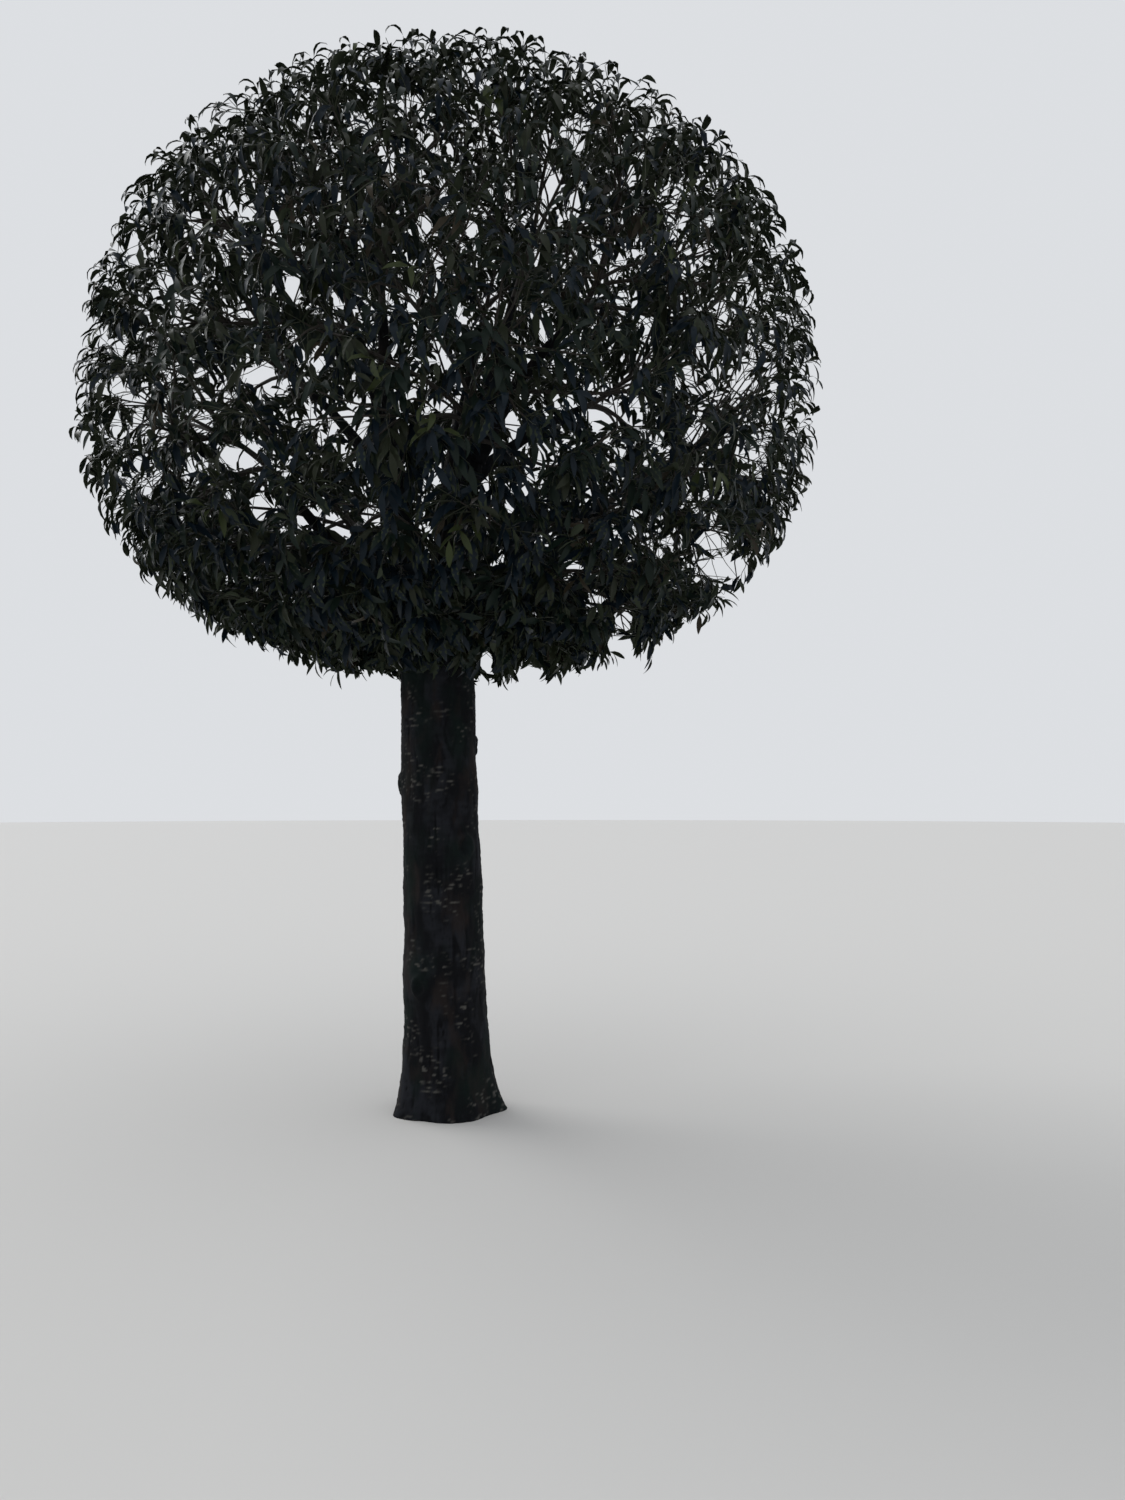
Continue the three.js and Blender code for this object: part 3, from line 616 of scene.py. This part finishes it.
def grow_crown():
    """The masses, the orders of their branching with the stems first, and the open lines of sight."""
    masses = grow_limbs()[1]
    dice = np.random.default_rng(settings().leaves.seed)
    stems = []
    for owner, mass in enumerate(masses):
        tip = mass.limb.tip
        stems.append((stem_line(mass), np.linspace(tip, tip * STEM.thinned, STEM.steps), owner))
    reach = Network(stems)
    orders = {"stem": reach}
    openings = np.array(SKY_WINDOWS)
    for name in ORDERS:
        if name == "shoot":
            reach = Network(orders["branch"].branches + orders["twig"].branches)
            left = settings().leaves.windows_left
            openings = np.concatenate([openings * (1, 1, left, left), small_openings()])
        reach = orders[name] = grow_order(name, reach, masses, openings, dice)
    return masses, orders, openings, dice


def leaf_tips(place, aim, face, size, shape):
    """Where the tips of arching leaves end."""
    arch = np.radians([form.arch for form in LEAF_SHAPES])[shape][:, None]
    chord = size[:, None] * (1 - arch**2 / MIDRIB.chord)
    return place + (aim * np.cos(arch * MIDRIB.dip) - face * np.sin(arch * MIDRIB.dip)) * chord


def leaves_of_shoot(line, dice):
    """A spray: leaves set round a shoot, standing off it, drooping, with their upper sides to the light."""
    leaves = settings().leaves
    span = np.linalg.norm(np.diff(line, axis=0), axis=1).sum()
    count = max(SPRAY.fewest, int(span * (1 - leaves.bare) / leaves.spacing))
    t = np.linspace(leaves.bare, 1, count)
    steps = np.linspace(0, 1, len(line))
    place = between(line, steps, t)
    heading = unit(between(unit(np.gradient(line, axis=0)), steps, t))
    turned = dice.random() * TURN + GOLDEN_TURN * np.arange(count) + dice.normal(0, SPRAY.turn_stray, count)
    spread = np.radians(SPRAY.spread - SPRAY.closing * t + dice.normal(0, SPRAY.spread_stray, count))[:, None]
    outward = unit(place - crown_middle())
    aim = heading * np.cos(spread) + rays(heading, turned[:, None], SPRAY.nudge) * np.sin(spread)
    top = np.maximum(outward[:, 2], 0)
    under = outward[:, 2].min() < CLIPPED.under
    bump = noise.noise(Vector(line[-1]) * CLIPPED.scale) * (CLIPPED.bump_under if under else CLIPPED.bump)
    limit = leaves.outermost + bump - CLIPPED.top * top.max()
    if outline_share(line[-1]) > 1:
        limit = CLIPPED.loose
    hang = leaves.droop * (SPRAY.hang[0] + SPRAY.hang[1] * dice.random(count)) * (1 - SPRAY.hang_top * top)
    hang = hang * (SPRAY.hang_under if under else 1)
    aim = unit(aim - UP * hang[:, None] + dice.normal(0, SPRAY.aim_stray, (count, 3)))
    hint = UP * SPRAY.face_up + outward * SPRAY.face_out + dice.normal(0, SPRAY.face_stray, (count, 3))
    size = leaves.blade * (SPRAY.size[0] + SPRAY.size[1] * dice.random(count)) * (1 - SPRAY.tip_loss * t**3)
    arched = SPRAY.arch + SPRAY.arch_rising * aim[:, 2] + SPRAY.arch_top * top
    arched = arched + dice.normal(0, SPRAY.arch_stray, count)
    form = np.clip(np.round(arched), 0, len(LEAF_SHAPES) - 1).astype(int)
    # A leaf that would stand out of the clipped outline lies down along it.
    for _ in range(CLIPPED.tries):
        face = unit(hint - (hint * aim).sum(axis=1, keepdims=True) * aim)
        tip = leaf_tips(place, aim, face, size, form)
        out = outline_share(tip) > limit
        if not out.any():
            break
        aim[out] = unit(aim[out] - outward[out] * CLIPPED.inward - UP * CLIPPED.down)
    return place, aim, face, size, form, tip, outline_share(tip) < limit


def grow_leaves(masses, orders, openings, dice):
    """The leaves of each mass: where they stand and what their fields say, as lists of one array a spray."""
    sprays = [{field: [] for field in ("place", *LEAF_FIELDS)} for _ in masses]
    for line, _, owner in orders["shoot"].branches:
        place, aim, face, size, form, tip, inside = leaves_of_shoot(line, dice)
        # A spray takes the low odds or the high ones by its height: painted shade below, painted light above.
        high = dice.random() < smooth_step(*SHADED_TO_LIT_HEIGHTS, line[-1, 2])
        green = dice.choice(len(GREENS), p=GREEN_ODDS_SHADED_AND_LIT[int(high)])
        middle = place + aim * size[:, None] * 0.5
        kept = inside & ~thinned(middle, dice)
        for points in ((place + middle) / 2, middle, (middle + tip) / 2, tip):
            kept &= ~blocks_sky(points, openings)
        shape = form + np.digitize(outline_share(tip), DETAIL_SHARES) * len(LEAF_SHAPES)
        green = np.full(len(place), green)
        for field, values in zip(sprays[owner], (place, aim, face, size, shape, green)):
            sprays[owner][field].append(values[kept])
    return sprays


def leaf_line(shape, t):
    """A point of the midrib at a share t of its length, with the ways along and up there."""
    arch, sickle = math.radians(shape.arch), math.radians(shape.sickle)
    point = Vector((0, 0, 0))
    for i in range(round(t * MIDRIB.spans)):
        # The stalk stands off nearly straight and the blade turns over past it.
        turned = (i / MIDRIB.spans) ** MIDRIB.power
        along = Matrix.Rotation(-arch * turned, 3, "X") @ Vector((0, 1, 0))
        along = Matrix.Rotation(sickle * turned, 3, "Z") @ along
        point += along / MIDRIB.spans
    return point, along, Vector((1, 0, 0)).cross(along).normalized()


def mesh_of(form, name):
    """A bmesh as a plain mesh."""
    mesh = bpy.data.meshes.new(name)
    form.to_mesh(mesh)
    form.free()
    return mesh


def leaf_mesh(name, shape, stations):
    """A closed lance-shaped blade of unit length along +Y, folded at its midrib, with a short stalk."""
    thick = settings().leaves.thickness / 2
    fold = math.radians(shape.fold)
    form = bmesh.new()
    below = form.faces.layers.bool.new("underside")
    root = form.verts.new((0, 0, 0))
    rings = []
    for t, wide in stations:
        point, along, up = leaf_line(shape, t)
        side = along.cross(up).normalized()
        twist = Matrix.Rotation(math.radians(shape.twist) * (t - MIDRIB.level), 3, along)
        side, up = twist @ side, twist @ up
        half = shape.width / 2 * wide
        reach = side * (half * math.cos(fold))
        rise = up * (half * math.sin(fold))
        corners = (point - reach + rise, point + up * thick, point + reach + rise, point - up * thick)
        rings.append([form.verts.new(corner) for corner in corners])
    tip = form.verts.new(leaf_line(shape, 1.0)[0])
    # The first two sides of the section look up, and the last two down.
    under = set()
    for i in range(4):
        j = (i + 1) % 4
        faces = [form.faces.new((a[i], a[j], b[j], b[i])) for a, b in zip(rings, rings[1:])]
        faces.append(form.faces.new((root, rings[0][j], rings[0][i])))
        faces.append(form.faces.new((rings[-1][i], rings[-1][j], tip)))
        if i >= 2:
            under.update(faces)
    bmesh.ops.recalc_face_normals(form, faces=form.faces)
    for face in form.faces:
        face.smooth = True
        face[below] = face in under
    for edge in form.edges:
        edge.smooth = len({face[below] for face in edge.link_faces}) == 1
    return mesh_of(form, name)


def leaf_shapes():
    """The collection of leaf shapes that the sprays pick from. It isn't linked to the scene."""
    shapes = bpy.data.collections.new("leaf_shapes")
    for detail, stations in enumerate(LEAF_STATIONS):
        for number, shape in enumerate(LEAF_SHAPES):
            name = f"leaf_shape_{detail}_{number}"
            shapes.objects.link(bpy.data.objects.new(name, leaf_mesh(name, shape, stations)))
    return shapes


def add_node(tree, kind, sockets=None, **options):
    """A new node with its options, and its sockets set or fed. A node feeds by its first output."""
    node = tree.nodes.new(kind)
    for option, value in options.items():
        setattr(node, option, value)
    for key, value in (sockets or {}).items():
        if isinstance(value, bpy.types.Node):
            value = value.outputs[0]
        if isinstance(value, bpy.types.NodeSocket):
            tree.links.new(value, node.inputs[key])
        else:
            node.inputs[key].default_value = value
    return node


def new_tree(name, sizes, *others):
    """A Geometry Nodes tree with geometry in and out and named inputs, and the outputs of those."""
    tree = bpy.data.node_groups.new(name, "GeometryNodeTree")
    tree.interface.new_socket(name="Geometry", in_out="OUTPUT", socket_type="NodeSocketGeometry")
    for label, kind in (("Geometry", "Geometry"), *others):
        tree.interface.new_socket(name=label, in_out="INPUT", socket_type=f"NodeSocket{kind}")
    for label, default in sizes.items():
        kind = "NodeSocketInt" if isinstance(default, int) else "NodeSocketFloat"
        tree.interface.new_socket(name=label, in_out="INPUT", socket_type=kind).default_value = default
    return tree, tree.nodes.new("NodeGroupInput").outputs


def named(tree, name, kind):
    """A node that reads a named attribute."""
    return add_node(tree, "GeometryNodeInputNamedAttribute", {"Name": name}, data_type=kind)


def product(tree, a, b):
    return add_node(tree, "ShaderNodeMath", {0: a, 1: b}, operation="MULTIPLY")


def painted(tree, flow, material, chosen=True):
    """A node that gives a material to the chosen faces."""
    sockets = {"Geometry": flow, "Selection": chosen, "Material": material}
    return add_node(tree, "GeometryNodeSetMaterial", sockets)


def spray_tree():
    """Sets leaves on points. Each point says which way its leaf aims and faces, its size, shape and green."""
    labels = [green.capitalize() for green in GREENS]
    materials = [(label, "Material") for label in ("Underside", *labels)]
    tree, given = new_tree("Leaf sprays", {"Width": 1.0}, ("Leaf shapes", "Collection"), *materials)
    said = {field: named(tree, field, kind) for field, kind in LEAF_FIELDS.items()}
    sockets = {"Collection": given["Leaf shapes"], "Separate Children": True, "Reset Children": True}
    shapes = add_node(tree, "GeometryNodeCollectionInfo", sockets)
    sockets = {"Primary Axis": said["aim"], "Secondary Axis": said["face"]}
    turn = add_node(tree, "FunctionNodeAxesToRotation", sockets, primary_axis="Y", secondary_axis="Z")
    sockets = {"X": product(tree, said["size"], given["Width"]), "Y": said["size"], "Z": said["size"]}
    scale = add_node(tree, "ShaderNodeCombineXYZ", sockets)
    sockets = {"Points": given["Geometry"], "Instance": shapes, "Rotation": turn, "Scale": scale}
    sockets.update({"Pick Instance": True, "Instance Index": said["shape"]})
    leaves = add_node(tree, "GeometryNodeInstanceOnPoints", sockets)
    flow = add_node(tree, "GeometryNodeRealizeInstances", {"Geometry": leaves})
    for number, label in enumerate(labels):
        sockets = {2: said["green"], 3: number}
        dealt = add_node(tree, "FunctionNodeCompare", sockets, data_type="INT", operation="EQUAL")
        flow = painted(tree, flow, given[label], dealt)
    flow = painted(tree, flow, given["Underside"], named(tree, "underside", "BOOLEAN"))
    add_node(tree, "NodeGroupOutput", {"Geometry": flow})
    return tree


def twig_tree():
    """Gives lines their round, tapering skin, brown on the older wood and green on the shoots."""
    sizes = {"Twig sides": 6, "Shoot sides": 3, "Thickness": 1.0}
    materials = [(label, "Material") for label in ("Twig bark", "Shoot skin")]
    tree, given = new_tree("Twig skins", sizes, *materials)
    young = named(tree, "young", "BOOLEAN")
    thick = product(tree, named(tree, "thickness", "FLOAT"), given["Thickness"])
    sockets = {"Geometry": given["Geometry"], "Selection": young}
    split = add_node(tree, "GeometryNodeSeparateGeometry", sockets)
    both = add_node(tree, "GeometryNodeJoinGeometry")
    for part, sides in (("Selection", "Shoot sides"), ("Inverted", "Twig sides")):
        line = add_node(tree, "GeometryNodeMeshToCurve", {"Mesh": split.outputs[part]})
        ring = add_node(tree, "GeometryNodeCurvePrimitiveCircle", {"Radius": 1.0, "Resolution": given[sides]})
        sockets = {"Curve": line, "Profile Curve": ring, "Scale": thick, "Fill Caps": True}
        skin = add_node(tree, "GeometryNodeCurveToMesh", sockets)
        tree.links.new(skin.outputs[0], both.inputs[0])
    flow = add_node(tree, "GeometryNodeRealizeInstances", {"Geometry": both})
    flow = painted(tree, flow, given["Twig bark"])
    flow = painted(tree, flow, given["Shoot skin"], young)
    add_node(tree, "NodeGroupOutput", {"Geometry": flow})
    return tree


def add_object(name, data):
    """A new object in the scene."""
    added = bpy.data.objects.new(name, data)
    bpy.context.scene.collection.objects.link(added)
    return added


def add_piece(name, mesh, node):
    """Puts a finished mesh in the scene as a piece that stands for its CAD node."""
    if not mesh.polygons:
        raise RuntimeError(f"{name} has no faces")
    piece = add_object(name, mesh)
    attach(piece, "root")
    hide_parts(node)


def add_grown(tree, mesh, inputs, name, node):
    """Adds the piece that a Geometry Nodes tree makes of a mesh, with named inputs."""
    maker = add_object(name, mesh)
    modifier = maker.modifiers.new("Grow", "NODES")
    modifier.node_group = tree
    sockets = {item.name: item.identifier for item in tree.interface.items_tree if item.in_out == "INPUT"}
    for label, value in inputs.items():
        modifier[sockets[label]] = value
    depsgraph = bpy.context.evaluated_depsgraph_get()
    grown = bpy.data.meshes.new_from_object(maker.evaluated_get(depsgraph), depsgraph=depsgraph)
    maker.modifiers.remove(modifier)
    bpy.data.objects.remove(maker)
    bpy.data.meshes.remove(mesh)
    grown.name = name
    add_piece(name, grown, node)


def store(mesh, name, kind, values):
    """A named attribute of a mesh's points."""
    layer = mesh.attributes.new(name, kind, "POINT")
    layer.data.foreach_set("vector" if kind == "FLOAT_VECTOR" else "value", np.asarray(values).ravel())


def new_material(name, colour, roughness, gloss=0.5):
    """A material of one colour. gloss is how strongly it mirrors."""
    material = bpy.data.materials.new(name)
    material.use_nodes = True
    material.diffuse_color = (*colour, 1)
    inputs = material.node_tree.nodes["Principled BSDF"].inputs
    inputs["Base Color"].default_value = (*colour, 1)
    inputs["Roughness"].default_value = roughness
    inputs["Specular IOR Level"].default_value = gloss
    return material


def pattern(tree, scale, detail, stretch):
    """Noise on Object coordinates."""
    place = add_node(tree, "ShaderNodeTexCoord").outputs["Object"]
    mapping = add_node(tree, "ShaderNodeMapping", {"Vector": place, "Scale": stretch})
    return add_node(tree, "ShaderNodeTexNoise", {"Vector": mapping, "Scale": scale, "Detail": detail})


def ramp(tree, value, *stops):
    """A colour ramp over a value. Each stop is a place and a colour."""
    node = add_node(tree, "ShaderNodeValToRGB", {"Fac": value})
    elements = node.color_ramp.elements
    while len(elements) < len(stops):
        elements.new(1.0)
    for element, (place, colour) in zip(elements, stops):
        element.position = place
        element.color = (*colour, 1)
    return node


def mixed(tree, factor, base, colour):
    """A plain colour laid over another by a factor."""
    sockets = {"Factor": factor, 6: base, 7: (*colour, 1)}
    return add_node(tree, "ShaderNodeMix", sockets, data_type="RGBA").outputs[2]


def bark_material(name, ridge, algae):
    """Bark: near black in its cracks, painted shade over their own darker bark, pale on its pores, mottled,
    and with a green film where it is damp.
    """
    bark = settings().bark
    material = new_material(name, ridge, roughness=0.9, gloss=0.1)
    tree = material.node_tree
    height = add_node(tree, "ShaderNodeAttribute", attribute_name="bark_height").outputs["Fac"]
    pores = add_node(tree, "ShaderNodeAttribute", attribute_name="bark_pores").outputs["Fac"]
    dark = tuple(0.4 * c for c in ridge)
    pale = tuple(1.6 * c for c in ridge)
    # The colour follows the relief's height: down in the cracks it goes to near black, which is painted
    # shade, and it is paler on the highest bark.
    look = ramp(tree, height, (0.0, bark.crack), (0.42, dark), (0.62, ridge), (1.0, pale))
    # Mottles, flaked places and algae: each has the scale, detail and stretch of its noise, the levels
    # between which it comes in, how much of it there is then, and its colour.
    layers = (
        (16, 6, (1, 1, 0.5), 0.44, 0.58, 1.0, dark),
        (9, 5, (1.3, 1, 0.5), 0.54, 0.64, 0.7, bark.flaked),
        (6, 8, (1, 1, 0.6), 0.6 - algae, 0.7 - algae / 2, 0.8, bark.algae),
    )
    for scale, detail, stretch, start, end, most, colour in layers:
        cloud = pattern(tree, scale, detail, stretch)
        patches = ramp(tree, cloud, (start, (0, 0, 0)), (end, (most, most, most)))
        look = mixed(tree, patches, look, colour)
    look = mixed(tree, pores, look, bark.pore)
    sockets = {"Height": pattern(tree, 160, 6, (1, 1, 0.45)), "Strength": 0.5, "Distance": 0.002}
    bump = add_node(tree, "ShaderNodeBump", sockets)
    shader = tree.nodes["Principled BSDF"]
    tree.links.new(look, shader.inputs["Base Color"])
    tree.links.new(bump.outputs["Normal"], shader.inputs["Normal"])
    return material


def grain(points, name, shift=0.0, sample=noise.noise):
    """One of the patterns of the bark over points, shifted within itself."""
    around, along = GRAIN[name]
    return np.array([sample(Vector(place)) for place in points * (around, around, along) + shift])


def bark_relief(points, amount):
    """Bark over points: how far it stands out, its height from 0 to 1, and its pores from 0 to 1."""
    bark = settings().bark
    lump = grain(points, "lump", sample=lambda place: noise.fractal(place, 1.0, 2.0, 3))
    wander = grain(points, "wander")[:, None] * RELIEF.wander
    plate = np.abs(grain(points, "plate", wander * (1, 1, 0)))
    fine = np.abs(grain(points, "fine", wander * (0, 0, 3)))
    fade = np.clip(grain(points, "fade", (3, 0, 0)) * RELIEF.fade[0] + RELIEF.fade[1], 0, 1)
    crack = np.maximum(1 - plate / RELIEF.crack, 0) * RELIEF.broad * fade
    crack = crack + np.maximum(1 - fine / RELIEF.fine_crack, 0) * (1 - RELIEF.broad)
    pore = np.clip((grain(points, "pore") - RELIEF.pore[1]) * RELIEF.pore[0], 0, 1)
    pore = pore * np.clip(grain(points, "patch", (7, 0, 0)) * RELIEF.patch, 0, 1)
    wrinkle = grain(points, "wrinkle")
    rise = bark.lump * lump - bark.fissure * crack + bark.lenticel * pore + bark.wrinkle * wrinkle
    height = RELIEF.level + RELIEF.lump * lump + RELIEF.wrinkle * wrinkle - RELIEF.level * crack
    return rise * amount, np.clip(height, 0, 1), pore * (1 - crack) * amount


def knot_rise(z, turned, radius):
    """How far the healed knots stand out of the trunk: a rim round a sunken middle."""
    rise = np.zeros_like(z)
    for height, turn, size in KNOTS:
        around = (np.mod(turned - turn + math.pi, TURN) - math.pi) * radius
        far = np.hypot(around, (z - height) * KNOT.squat) / size
        rim = np.exp(-((far - KNOT.rim) ** 2) * KNOT.rim_fall)
        rise += settings().bark.knot * (rim - KNOT.pit * np.exp(-(far**2) * KNOT.pit_fall))
    return rise


def add_barked(node, material, rings, height, pores):
    """Adds the barked piece of a node: a closed tube through rings, with a middle point at each end."""
    rows, sides = rings.shape[:2]
    points = np.concatenate([rings.reshape(-1, 3), [rings[0].mean(axis=0), rings[-1].mean(axis=0)]])
    corner = np.arange(rows * sides).reshape(rows, sides)
    beside = np.roll(corner, -1, axis=1)
    first, last = rows * sides, rows * sides + 1
    faces = np.stack([corner[:-1], beside[:-1], beside[1:], corner[1:]], axis=2).reshape(-1, 4).tolist()
    faces += [(b, a, first) for a, b in zip(corner[0].tolist(), beside[0].tolist())]
    faces += [(a, b, last) for a, b in zip(corner[-1].tolist(), beside[-1].tolist())]
    name = f"{node}_bark"
    mesh = bpy.data.meshes.new(name)
    mesh.from_pydata(points.tolist(), [], faces)
    for field, values in (("bark_height", height), ("bark_pores", pores)):
        store(mesh, field, "FLOAT", np.append(values, [RELIEF.ends, RELIEF.ends]))
    mesh.shade_smooth()
    mesh.validate()
    mesh.materials.append(material)
    add_piece(name, mesh, node)


class LAUREL_OT_trunk(Operator):
    """Makes the barked trunk, from the ground to its head"""

    bl_idname = "laurel.trunk"
    bl_label = "Trunk"

    def execute(self, context):
        trunk = settings().trunk
        sides = round(TURN * trunk.foot_radius / trunk.mesh_step)
        rows = round(trunk.height / trunk.mesh_step)
        z, turned = np.meshgrid(np.linspace(0, trunk.height, rows), turns(sides), indexing="ij")
        radius = trunk_radius(z, turned)
        way = np.stack([np.cos(turned), np.sin(turned), np.zeros_like(z)], axis=2)
        smooth = trunk_axis(z) + way * radius[..., None]
        out, height, pores = bark_relief(smooth.reshape(-1, 3), 1.0)
        out = out.reshape(z.shape) + knot_rise(z, turned, radius)
        rings = smooth + way * out[..., None]
        # The head closes in a low uneven dome.
        t = np.arange(1, HEAD.dome_steps)[:, None, None] / HEAD.dome_steps
        dome = rings[-1] * (1 - t) + trunk_axis(trunk.height) * t
        dome[..., 2] = trunk.height + HEAD.dome_rise * np.sin(t[..., 0] * math.pi / 2)
        height = np.append(height, np.full(dome[..., 0].size, RELIEF.dome))
        pores = np.append(pores, np.zeros(dome[..., 0].size))
        material = bark_material("trunk_bark", settings().bark.ridge, algae=0.1)
        add_barked("trunk", material, np.concatenate([rings, dome]), height, pores)
        return {"FINISHED"}


class LAUREL_OT_boughs(Operator):
    """Makes the barked boughs, one piece each"""

    bl_idname = "laurel.boughs"
    bl_label = "Boughs"

    def execute(self, context):
        limbs = settings().limbs
        material = bark_material("bough_bark", settings().bark.bough, algae=0.02)
        turned = turns(limbs.sides)[:, None]
        for limb in grow_limbs()[0]:
            rows = round(limb.length / limbs.mesh_step)
            shares = np.linspace(0, 1, rows)
            line, radius = limb.at(shares), limb.radius(shares)
            heading = unit(np.gradient(line, axis=0))
            way = rays(heading[:, None], turned, BOUGH.nudge)
            smooth = line[:, None] + way * radius[:, None, None]
            strength = np.repeat(np.clip(radius / RELIEF.full, *RELIEF.strength), limbs.sides)
            out, height, pores = bark_relief(smooth.reshape(-1, 3), strength)
            rings = smooth + way * out.reshape(rows, limbs.sides, 1)
            add_barked(limb.name, material, rings, height, pores)
        return {"FINISHED"}


class LAUREL_OT_twigs(Operator):
    """Makes the twigs of each mass, in the orders that the leaves hang from"""

    bl_idname = "laurel.twigs"
    bl_label = "Twigs"

    def execute(self, context):
        bark = settings().bark
        inputs = {
            "Twig bark": new_material("twig_bark", bark.twig, roughness=0.7),
            "Shoot skin": new_material("shoot_skin", bark.shoot, roughness=0.5),
        }
        tree = twig_tree()
        masses, orders = grow_crown()[:2]
        for owner, mass in enumerate(masses):
            points, edges, thickness, young = [], [], [], []
            for order, network in orders.items():
                for line, radii, own in network.branches:
                    if own == owner:
                        end = len(points) + len(line) - 1
                        edges += [(i, i + 1) for i in range(len(points), end)]
                        points += line.tolist()
                        thickness += radii.tolist()
                        young += [order == "shoot"] * len(line)
            lines = bpy.data.meshes.new("lines")
            lines.from_pydata(points, edges, [])
            store(lines, "thickness", "FLOAT", thickness)
            store(lines, "young", "BOOLEAN", young)
            add_grown(tree, lines, inputs, f"{mass.label}_twigs", mass.node)
        return {"FINISHED"}


class LAUREL_OT_leaves(Operator):
    """Makes the leaves of each mass, in sprays that are dealt their greens"""

    bl_idname = "laurel.leaves"
    bl_label = "Leaves"

    def execute(self, context):
        leaves = settings().leaves
        inputs = {"Underside": new_material("leaf_underside", leaves.underside, roughness=0.65, gloss=0.1)}
        for green in GREENS:
            skin = new_material(f"leaf_{green}", getattr(leaves, green), roughness=0.4, gloss=0.14)
            inputs[green.capitalize()] = skin
        inputs["Leaf shapes"] = leaf_shapes()
        tree = spray_tree()
        crown = grow_crown()
        for mass, sprays in zip(crown[0], grow_leaves(*crown)):
            points = bpy.data.meshes.new("points")
            points.from_pydata(np.concatenate(sprays["place"]).tolist(), [], [])
            for field, kind in LEAF_FIELDS.items():
                store(points, field, kind, np.concatenate(sprays[field]))
            add_grown(tree, points, inputs, f"{mass.label}_leaves", mass.node)
        return {"FINISHED"}


class LAUREL_OT_stage(Operator):
    """Makes the pale floor, the soft light and the camera"""

    bl_idname = "laurel.stage"
    bl_label = "Stage"

    def execute(self, context):
        stage, scene = settings().stage, context.scene
        form = bmesh.new()
        bmesh.ops.create_circle(form, cap_ends=True, segments=96, radius=stage.floor_radius)
        mesh = mesh_of(form, "floor")
        mesh.materials.append(new_material("floor", stage.floor, roughness=0.9))
        floor = add_object("floor", mesh)
        world = bpy.data.worlds.new("studio")
        world.use_nodes = True
        background = world.node_tree.nodes["Background"].inputs
        background["Color"].default_value = (*stage.sky, 1)
        background["Strength"].default_value = stage.sky_strength
        scene.world = world
        scene.view_settings.view_transform = "Standard"
        sun = bpy.data.lights.new("key", "SUN")
        sun.energy = stage.key_power
        sun.angle = stage.key_spread
        lamp = add_object("key", sun)
        lamp.location = LAMP_PLACE
        lamp.rotation_euler = (LAMP_AIM - LAMP_PLACE).to_track_quat("-Z", "Y").to_euler()
        lens = bpy.data.cameras.new("camera")
        lens.lens = stage.lens
        camera = add_object("camera", lens)
        camera.location = stage.eye
        camera.rotation_euler = (math.pi / 2 + stage.pitch, 0, -stage.yaw)
        scene.camera = camera
        return {"FINISHED"}


class LAUREL_PT_panel(Panel):
    """Lists the steps that dress the tree"""

    bl_idname = "LAUREL_PT_panel"
    bl_label = "Standard laurel"
    bl_space_type = "VIEW_3D"
    bl_region_type = "UI"
    bl_category = "Laurel"

    def draw(self, context):
        for operator in OPERATORS:
            self.layout.operator(operator.bl_idname)
        for group in ("crown", "trunk", "bark", "limbs", "leaves", "stage"):
            values = getattr(context.scene.laurel, group)
            box = self.layout.box()
            box.label(text=group.capitalize())
            for name in values.bl_rna.properties.keys():
                if name not in ("rna_type", "name"):
                    box.prop(values, name)


OPERATORS = (LAUREL_OT_stage, LAUREL_OT_trunk, LAUREL_OT_boughs, LAUREL_OT_twigs, LAUREL_OT_leaves)
GROUPS = (LaurelCrown, LaurelTrunk, LaurelBark, LaurelLimbs, LaurelLeaves, LaurelStage, LaurelSettings)
CLASSES = (*GROUPS, *OPERATORS, LAUREL_PT_panel)


def register():
    for cls in CLASSES:
        bpy.utils.register_class(cls)
    bpy.types.Scene.laurel = PointerProperty(type=LaurelSettings)


def unregister():
    del bpy.types.Scene.laurel
    for cls in reversed(CLASSES):
        bpy.utils.unregister_class(cls)


def main():
    register()
    for operator in OPERATORS:
        group, name = operator.bl_idname.split(".")
        getattr(getattr(bpy.ops, group), name)()


if __name__ == "__main__":
    main()
